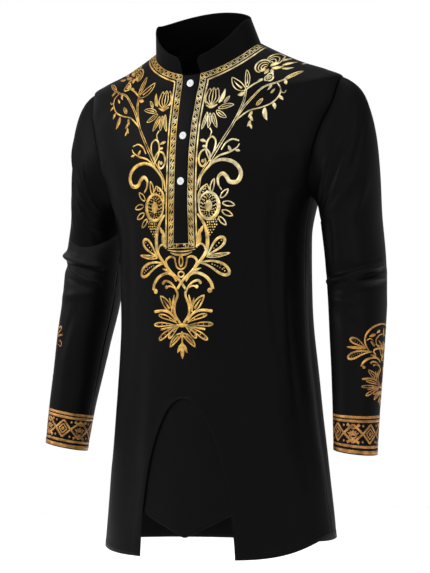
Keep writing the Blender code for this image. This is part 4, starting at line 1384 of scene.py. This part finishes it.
def wrist_border(girth):
    """Strokes of the band between its double lines: diamonds and wider palmette cells in turn."""
    pair = girth * 1000 / PAIRS
    nested, crossed = pair * DIAMOND_SHARE / 2, pair * (1 - DIAMOND_SHARE) / 2
    first = diamond(nested - 0.2, BORDER_HALF, 3.4)
    first += diamond(nested * 0.54, BORDER_HALF * 0.56, 2.2)
    first += diamond(nested * 0.15, 2.6, 2.2)
    second = diamond(crossed - 0.2, BORDER_HALF, 3.8) + palmette()
    for edge in (1, -1):
        second += leaf((crossed, edge * (BORDER_HALF - 4)), (crossed, edge * BORDER_HALF), 3.4)
        first += leaf((nested, edge * (BORDER_HALF - 4)), (nested, edge * BORDER_HALF), 3.4)
    strokes = []
    for k in range(PAIRS):
        strokes += shifted(second, (k * pair, 0)) + shifted(first, ((k + 0.5) * pair, 0))
    return strokes


def wrist_lines(side, folds):
    lines = []
    for above, width in BORDER_LINES:
        turn = np.linspace(0, 1, 121)
        along = np.full(121, 2 - above / SLEEVE_FALL)
        centres = sleeve_point(turn, along, folds, hem_step(np.array(above)), side)
        outside = sleeve_point(turn, along, folds, 0.002, side)
        lines.append((centres, unit(outside - centres), np.full(121, width)))
    return lines


# %% Ornament on the outside of each sleeve
ORNAMENT_TURN, ORNAMENT_MIDDLE, ORNAMENT_SCALE = 0.53, -420.0, (0.83, 0.52)
ORNAMENT_UP = {1: 0.1317, -1: 0.1550}
arches = [
    stem([(40, 50), (49, 74), (47, 100), (34, 124), (14, 137), (0, 139)], 3.6, 5.0, 3.6),
    stem([(6, 60), (20, 68), (25, 86), (16, 102), (4, 108)], 2.4, 3.2, 2.2),
    stem([(46, 84), (38, 90), (32, 84)], 2.0, 2.6, 1.4),
]
arches += leaves((
    ((0, 62), (0, 88), 9, 0), ((4, 66), (18, 86), 7, 1), ((28, 66), (38, 82), 7, 1),
    ((26, 104), (40, 96), 7, 0), ((14, 118), (24, 108), 6, 0), ((0, 100), (0, 128), 8, 0),
))
ornament = mirrored(shifted(lower, (0, -ORNAMENT_MIDDLE)) + arches)
ornament += shifted(middle, (0, -ORNAMENT_MIDDLE))
for name, (side, folds) in SIDES.items():
    lines = on_sleeve(ornament, side, folds, ORNAMENT_TURN, ORNAMENT_UP[side], ORNAMENT_SCALE)
    border = wrist_border(girth_above(BORDER_MIDDLE))
    lines += on_sleeve(border, side, folds, BORDER_TURN, BORDER_MIDDLE)
    lines += wrist_lines(side, folds)
    points, faces, _ = ribbon_mesh(lines)
    foil_piece(f"sleeve_{name}_print", points, faces)
print("strokes on a sleeve:", len(lines))

# %% [markdown]
# ## Stitches
# Edges that are turned under are held by a row of stitches. Geometry Nodes suit them: one tree
# takes any line, walks along it at the stitch pitch, and sets a short thread on each step,
# turned to the line. The tree ends by making real geometry, and the result is kept as a plain
# mesh.

# %% The stitch tree
def stitch_tree():
    tree = bpy.data.node_groups.new("stitch_run", "GeometryNodeTree")
    for name, kind, value in (
        ("Line", "NodeSocketGeometry", None), ("Pitch", "NodeSocketFloat", 0.0034),
        ("Stitch length", "NodeSocketFloat", 0.0024),
        ("Thread radius", "NodeSocketFloat", 0.00022), ("Thread", "NodeSocketMaterial", None),
    ):
        socket = tree.interface.new_socket(name, in_out="INPUT", socket_type=kind)
        if value is not None:
            socket.default_value = value
    tree.interface.new_socket("Stitches", in_out="OUTPUT", socket_type="NodeSocketGeometry")
    given, made = tree.nodes.new("NodeGroupInput"), tree.nodes.new("NodeGroupOutput")
    sources = {"Curve": given.outputs["Line"], "Length": given.outputs["Pitch"]}
    walk = linked(tree, "GeometryNodeResampleCurve", sources, mode="LENGTH")
    ahead = add_node(tree, "GeometryNodeInputTangent")
    turned = linked(tree, "FunctionNodeAlignRotationToVector",
                    {"Vector": ahead.outputs["Tangent"]}, axis="Z")
    sources = {"Radius": given.outputs["Thread radius"], "Depth": given.outputs["Stitch length"]}
    thread = linked(tree, "GeometryNodeMeshCylinder", sources, Vertices=6)
    sources = {"Points": walk.outputs["Curve"], "Instance": thread.outputs["Mesh"],
               "Rotation": turned.outputs["Rotation"]}
    place = linked(tree, "GeometryNodeInstanceOnPoints", sources)
    real = linked(tree, "GeometryNodeRealizeInstances", {"Geometry": place.outputs["Instances"]})
    sources = {"Geometry": real.outputs["Geometry"], "Material": given.outputs["Thread"]}
    coat = linked(tree, "GeometryNodeSetMaterial", sources)
    tree.links.new(coat.outputs["Geometry"], made.inputs["Stitches"])
    return tree


STITCHES = stitch_tree()


def sew(name, lines, **sizes):
    """Rows of stitches along these lines, as a plain mesh."""
    curve = bpy.data.curves.new(name, "CURVE")
    curve.dimensions = "3D"
    for line in lines:
        spline = curve.splines.new("POLY")
        spline.points.add(len(line) - 1)
        spline.points.foreach_set("co", np.c_[line, np.ones(len(line))].astype(np.float32).ravel())
    guide = bpy.data.objects.new(name, curve)
    bpy.context.scene.collection.objects.link(guide)
    run = guide.modifiers.new("stitches", "NODES")
    run.node_group = STITCHES
    values = {"Thread": SEWING_THREAD, **sizes}
    for socket in STITCHES.interface.items_tree:
        if socket.in_out == "INPUT" and socket.name in values:
            run[socket.identifier] = values[socket.name]
    bpy.context.view_layer.update()
    finished = guide.evaluated_get(bpy.context.evaluated_depsgraph_get())
    mesh = bpy.data.meshes.new_from_object(finished)
    bpy.data.objects.remove(guide)
    piece = bpy.data.objects.new(name, mesh)
    bpy.context.scene.collection.objects.link(piece)
    return piece


# %% Seam lines
HEM_SEAM, INSET_SEAM, PLACKET_SEAM, BAR_HEIGHTS = 0.0105, 0.0095, 0.0028, (-0.3115, -0.3145)


def laid(points, tree, lift=0.00008):
    places = [tree.find_nearest(Vector(p)) for p in points]
    return np.array([hit[0] + hit[1] * lift for hit in places])


def hem_line(low, high, above, count=240):
    angle = np.radians(np.linspace(low, high, count))
    return body_point(angle, hem_height(angle) + above, 0.0004)


def arch_line(side, inset=0.005):
    heights = ARCH_TOP - (ARCH_TOP - HEM) * np.linspace(0, 1, 120) ** 2
    across = arch_half(heights) + inset
    return body_point(side * angle_across(across, heights + 0.002), heights + 0.002, 0.0004)


arch_angle = math.degrees(float(angle_across(np.array(ARCH_HALF + 0.004), np.array(HEM))))
front_seams = [hem_line(arch_angle, 89, HEM_SEAM), hem_line(-89, -arch_angle, HEM_SEAM),
               arch_line(1), arch_line(-1)]
back_seams = [hem_line(91, 269, HEM_SEAM, 400)]
across = np.linspace(-0.088, 0.088, 120)
inset_low = INSET_TIP + INSET_SLOPE * np.sqrt(across**2 + INSET_SOFT**2) + INSET_SEAM
inset_seam = body_point(signed_angle(across, inset_low), inset_low, -INSET_DEPTH)
collar_seams = [collar_grid(200, 40)[row] for row in (2, 37)]
armhole_turns = np.linspace(0.03, 0.97, 160)
armholes = []
for mirror_side in (1, -1):
    angle, heights = armhole_place(armhole_turns)
    inward = np.where(armhole_turns <= 0.5, -1, 1) * 0.022
    armholes.append(body_point(angle + inward, heights, 0.0001) * np.array([mirror_side, 1, 1]))
stitch_rows = {
    "front_stitches": [laid(line, front_tree) for line in front_seams],
    "back_stitches": [laid(line, back_tree) for line in back_seams],
    "inset_stitches": [laid(inset_seam, inset_tree)],
    "collar_stitches": [laid(line, collar_tree) for line in collar_seams],
}
for line in armholes:
    stitch_rows["front_stitches"].append(laid(line[:78], front_tree))
    stitch_rows["back_stitches"].append(laid(line[82:], back_tree))
strip = np.linspace(SLIT_BOTTOM + 0.004, NECK - 0.004, 120)
for edge in (-1, 1):
    line = body_point(edge * angle_across(slit_half(strip) - PLACKET_SEAM, strip), strip, 0.001)
    stitch_rows.setdefault("placket_stitches", []).append(laid(line, placket_tree))
for height in BAR_HEIGHTS:
    level = np.full(12, height)
    line = body_point(signed_angle(np.linspace(-0.0128, 0.0128, 12), level), level)
    stitch_rows["placket_stitches"].append(laid(line, placket_tree))
stitch_pieces = {name: sew(name, lines) for name, lines in stitch_rows.items()}
print("stitch faces:", {name: len(p.data.polygons) for name, p in stitch_pieces.items()})

# %% [markdown]
# ## Buttons
# The buttons are turned discs of pearl white plastic with four holes, and their shape is right
# already, so only the finish changes: a hard gloss over a slightly cloudy white. White thread
# goes through the holes, drawn as short tubes.

# %% Pearl plastic and thread
def pearl_plastic():
    material, tree, shader = new_material("pearl_plastic")
    cloud = noise(tree, object_place(tree), Scale=160.0, Detail=3.0, Distortion=1.5)
    tone = two_colours(tree, cloud, (0.76, 0.76, 0.80, 1), (0.95, 0.95, 0.95, 1))
    paint(tree, shader, tone, between(tree, cloud, 0.14, 0.26))
    shader.inputs["Coat Weight"].default_value = 0.4
    shader.inputs["Coat Roughness"].default_value = 0.08
    return material


def white_thread():
    material, tree, shader = new_material("white_thread")
    twist = noise(tree, object_place(tree), Scale=3000.0, Detail=2.0)
    tone = two_colours(tree, twist, (0.62, 0.62, 0.62, 1), (0.88, 0.88, 0.88, 1))
    tree.links.new(tone, shader.inputs["Base Color"])
    shader.inputs["Roughness"].default_value = 0.75
    return material


PEARL, WHITE_THREAD = pearl_plastic(), white_thread()
BUTTON_HEIGHTS = (-0.0693, -0.158, -0.234)
HOLE_SPREAD, THREAD_DEEP, THREAD_RISE = 0.0013, 0.0018, 0.0009
for number in range(1, len(BUTTON_HEIGHTS) + 1):
    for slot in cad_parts[f"button_{number}"].material_slots:
        slot.material = PEARL


def thread_tube(start, end, rise, radius=0.00032, sides=8, steps=8):
    """A thread that goes up through one hole, over, and down through the next."""
    share = np.linspace(0, 1, steps + 1)[:, None]
    middle = start + (end - start) * share
    middle = middle + rise * (np.sin(np.pi * share) ** 0.5)
    along = unit(np.gradient(middle, axis=0))
    side = unit(np.cross(along, rise[None, :] + 1e-9))
    lift = np.cross(side, along)
    around = 2 * np.pi * np.arange(sides) / sides
    loops = (middle[:, None] + radius * (side[:, None] * np.cos(around)[None, :, None]
                                         + lift[:, None] * np.sin(around)[None, :, None]))
    faces = grid_quads(steps + 1, sides, closed=True).tolist()
    return loops.reshape(-1, 3), faces


def button_threads():
    points, faces = [], []
    for height in BUTTON_HEIGHTS:
        place = np.array(0.0), np.array(height)
        centre = body_plain(*place)
        right, above = map(unit, surface_ways(*place))
        out = np.cross(right, above)
        for side in (-1, 1):
            base = centre + right * HOLE_SPREAD * side + out * THREAD_DEEP
            ends = base - above * HOLE_SPREAD, base + above * HOLE_SPREAD
            tube, quads = thread_tube(*ends, out * THREAD_RISE)
            start = sum(len(p) for p in points)
            points.append(tube)
            faces += [[i + start for i in quad] for quad in quads]
    return np.concatenate(points), faces


button_thread = mesh_piece("button_thread", *button_threads(), WHITE_THREAD)
print("button thread points:", len(button_thread.data.vertices))

# %% [markdown]
# ## Putting each piece on the body
# Every piece rides on the one rigid body. The cloth pieces stand in for the plain walls, which
# are hidden, and the table gives the size that each was cut to, flat.

# %% Rides and hidden walls
CLOTHS = {
    "front_cloth": ("front", (0.56, 0.86)),
    "back_cloth": ("back", (0.56, 0.87)),
    "inset_cloth": ("front_inset", (0.211, 0.244)),
    "placket_over_cloth": ("placket_over", (0.032, 0.292)),
    "placket_under_cloth": ("placket_under", (0.041, 0.304)),
    "collar_cloth": ("collar", (0.47, 0.060)),
    "sleeve_left_cloth": ("sleeve_left", (0.40, 0.60)),
    "sleeve_right_cloth": ("sleeve_right", (0.40, 0.60)),
}


pieces = [obj for obj in bpy.context.scene.collection.all_objects
          if obj.type == "MESH" and obj not in list(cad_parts.values())]
for piece in pieces:
    if piece.modifiers:
        apply_modifiers(piece)
    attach(piece, "root")
    if piece.name in CLOTHS:
        node, flat = CLOTHS[piece.name]
        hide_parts(node)

# %% [markdown]
# ## Studio
# The shirt hangs over a round pale floor, in white air. Large soft lights from both sides, from
# the front and from above draw the folds on black cloth with broad, pale reflections. The lights
# themselves don't show, so the shirt can be looked at from any side. The floor gives a little
# light of its own, which lets its far edge melt into the air.

# %% Floor
FLOOR_HEIGHT, FLOOR_RADIUS, FLOOR_SIDES, FLOOR_GLOW = -1.02, 2.4, 96, 0.12


def make_floor():
    """A round floor below the shirt, facing up."""
    around = np.linspace(0, 2 * np.pi, FLOOR_SIDES, endpoint=False)
    rim = FLOOR_RADIUS * np.stack([np.cos(around), np.sin(around)], axis=1)
    points = np.c_[rim, np.full(FLOOR_SIDES, FLOOR_HEIGHT)]
    material, tree, shader = new_material("studio_white")
    grain = noise(tree, object_place(tree), Scale=3.0)
    tone = two_colours(tree, grain, (0.95, 0.95, 0.95, 1), (0.97, 0.97, 0.97, 1))
    tree.links.new(tone, shader.inputs["Base Color"])
    shader.inputs["Roughness"].default_value = 0.9
    shader.inputs["Emission Color"].default_value = (1, 1, 1, 1)
    shader.inputs["Emission Strength"].default_value = FLOOR_GLOW
    mesh_piece("studio_floor", points, [range(FLOOR_SIDES)], material)


make_floor()

# %% Lights
AIR_LIGHT, AIR_SEEN = 0.5, 1.0
LIGHTS = (
    ("key_left", (-3.2, -2.7, 1.8), 1.3, 72, (0.0, 0.0, -0.35)),
    ("fill_right", (3.4, -1.8, 0.9), 1.4, 26, (0.1, 0.0, -0.40)),
    ("front_soft", (1.6, -4.6, 1.6), 1.6, 34, (0.0, 0.0, -0.45)),
    ("top_soft", (0.3, -0.2, 2.6), 1.6, 24, (0.0, 0.0, -0.20)),
    ("floor_behind", (-0.4, 0.7, 0.2), 2.0, 20, (-0.8, 1.5, -1.02)),
)
for name, place, size, power, aim in LIGHTS:
    light = bpy.data.lights.new(name, "AREA")
    light.energy, light.size, light.shape = power, size, "SQUARE"
    lamp = bpy.data.objects.new(name, light)
    lamp.location = place
    lamp.rotation_euler = (Vector(aim) - Vector(place)).to_track_quat("-Z", "Y").to_euler()
    lamp.visible_camera = False
    bpy.context.scene.collection.objects.link(lamp)
world = bpy.data.worlds.new("studio_air")
world.use_nodes = True
air = world.node_tree.nodes["Background"]
air.inputs["Color"].default_value = (1, 1, 1, 1)
rays = add_node(world.node_tree, "ShaderNodeLightPath")
strength = between(world.node_tree, rays.outputs["Is Camera Ray"], AIR_LIGHT, AIR_SEEN)
world.node_tree.links.new(strength, air.inputs["Strength"])
bpy.context.scene.world = world
bpy.context.scene.view_settings.view_transform = "Standard"

# %% [markdown]
# ## Camera
# The camera stands level with the waist, a little to the wearer's left and almost four metres
# off, with a long lens. It leans very slightly to one side.

# %% Camera
VIEW_TURN, VIEW_DISTANCE, VIEW_HEIGHT, VIEW_LEAN = math.radians(30), 3.9, -0.41, math.radians(1.2)
IMAGE_HEIGHT, FOCAL_PIXELS, SENSOR = 573, 2294, 36.0
lens = bpy.data.cameras.new("camera")
lens.sensor_fit, lens.sensor_height, lens.sensor_width = "VERTICAL", SENSOR, SENSOR
lens.lens = SENSOR * FOCAL_PIXELS / IMAGE_HEIGHT
camera = bpy.data.objects.new("camera", lens)
camera.location = (VIEW_DISTANCE * math.sin(VIEW_TURN), -VIEW_DISTANCE * math.cos(VIEW_TURN),
                   VIEW_HEIGHT)
camera.rotation_mode = "XYZ"
aim = Vector((-camera.location.x, -camera.location.y, 0.0)).to_track_quat("-Z", "Y").to_matrix()
camera.rotation_euler = (aim @ Matrix.Rotation(-VIEW_LEAN, 3, "Z")).to_euler()
bpy.context.scene.collection.objects.link(camera)
bpy.context.scene.camera = camera
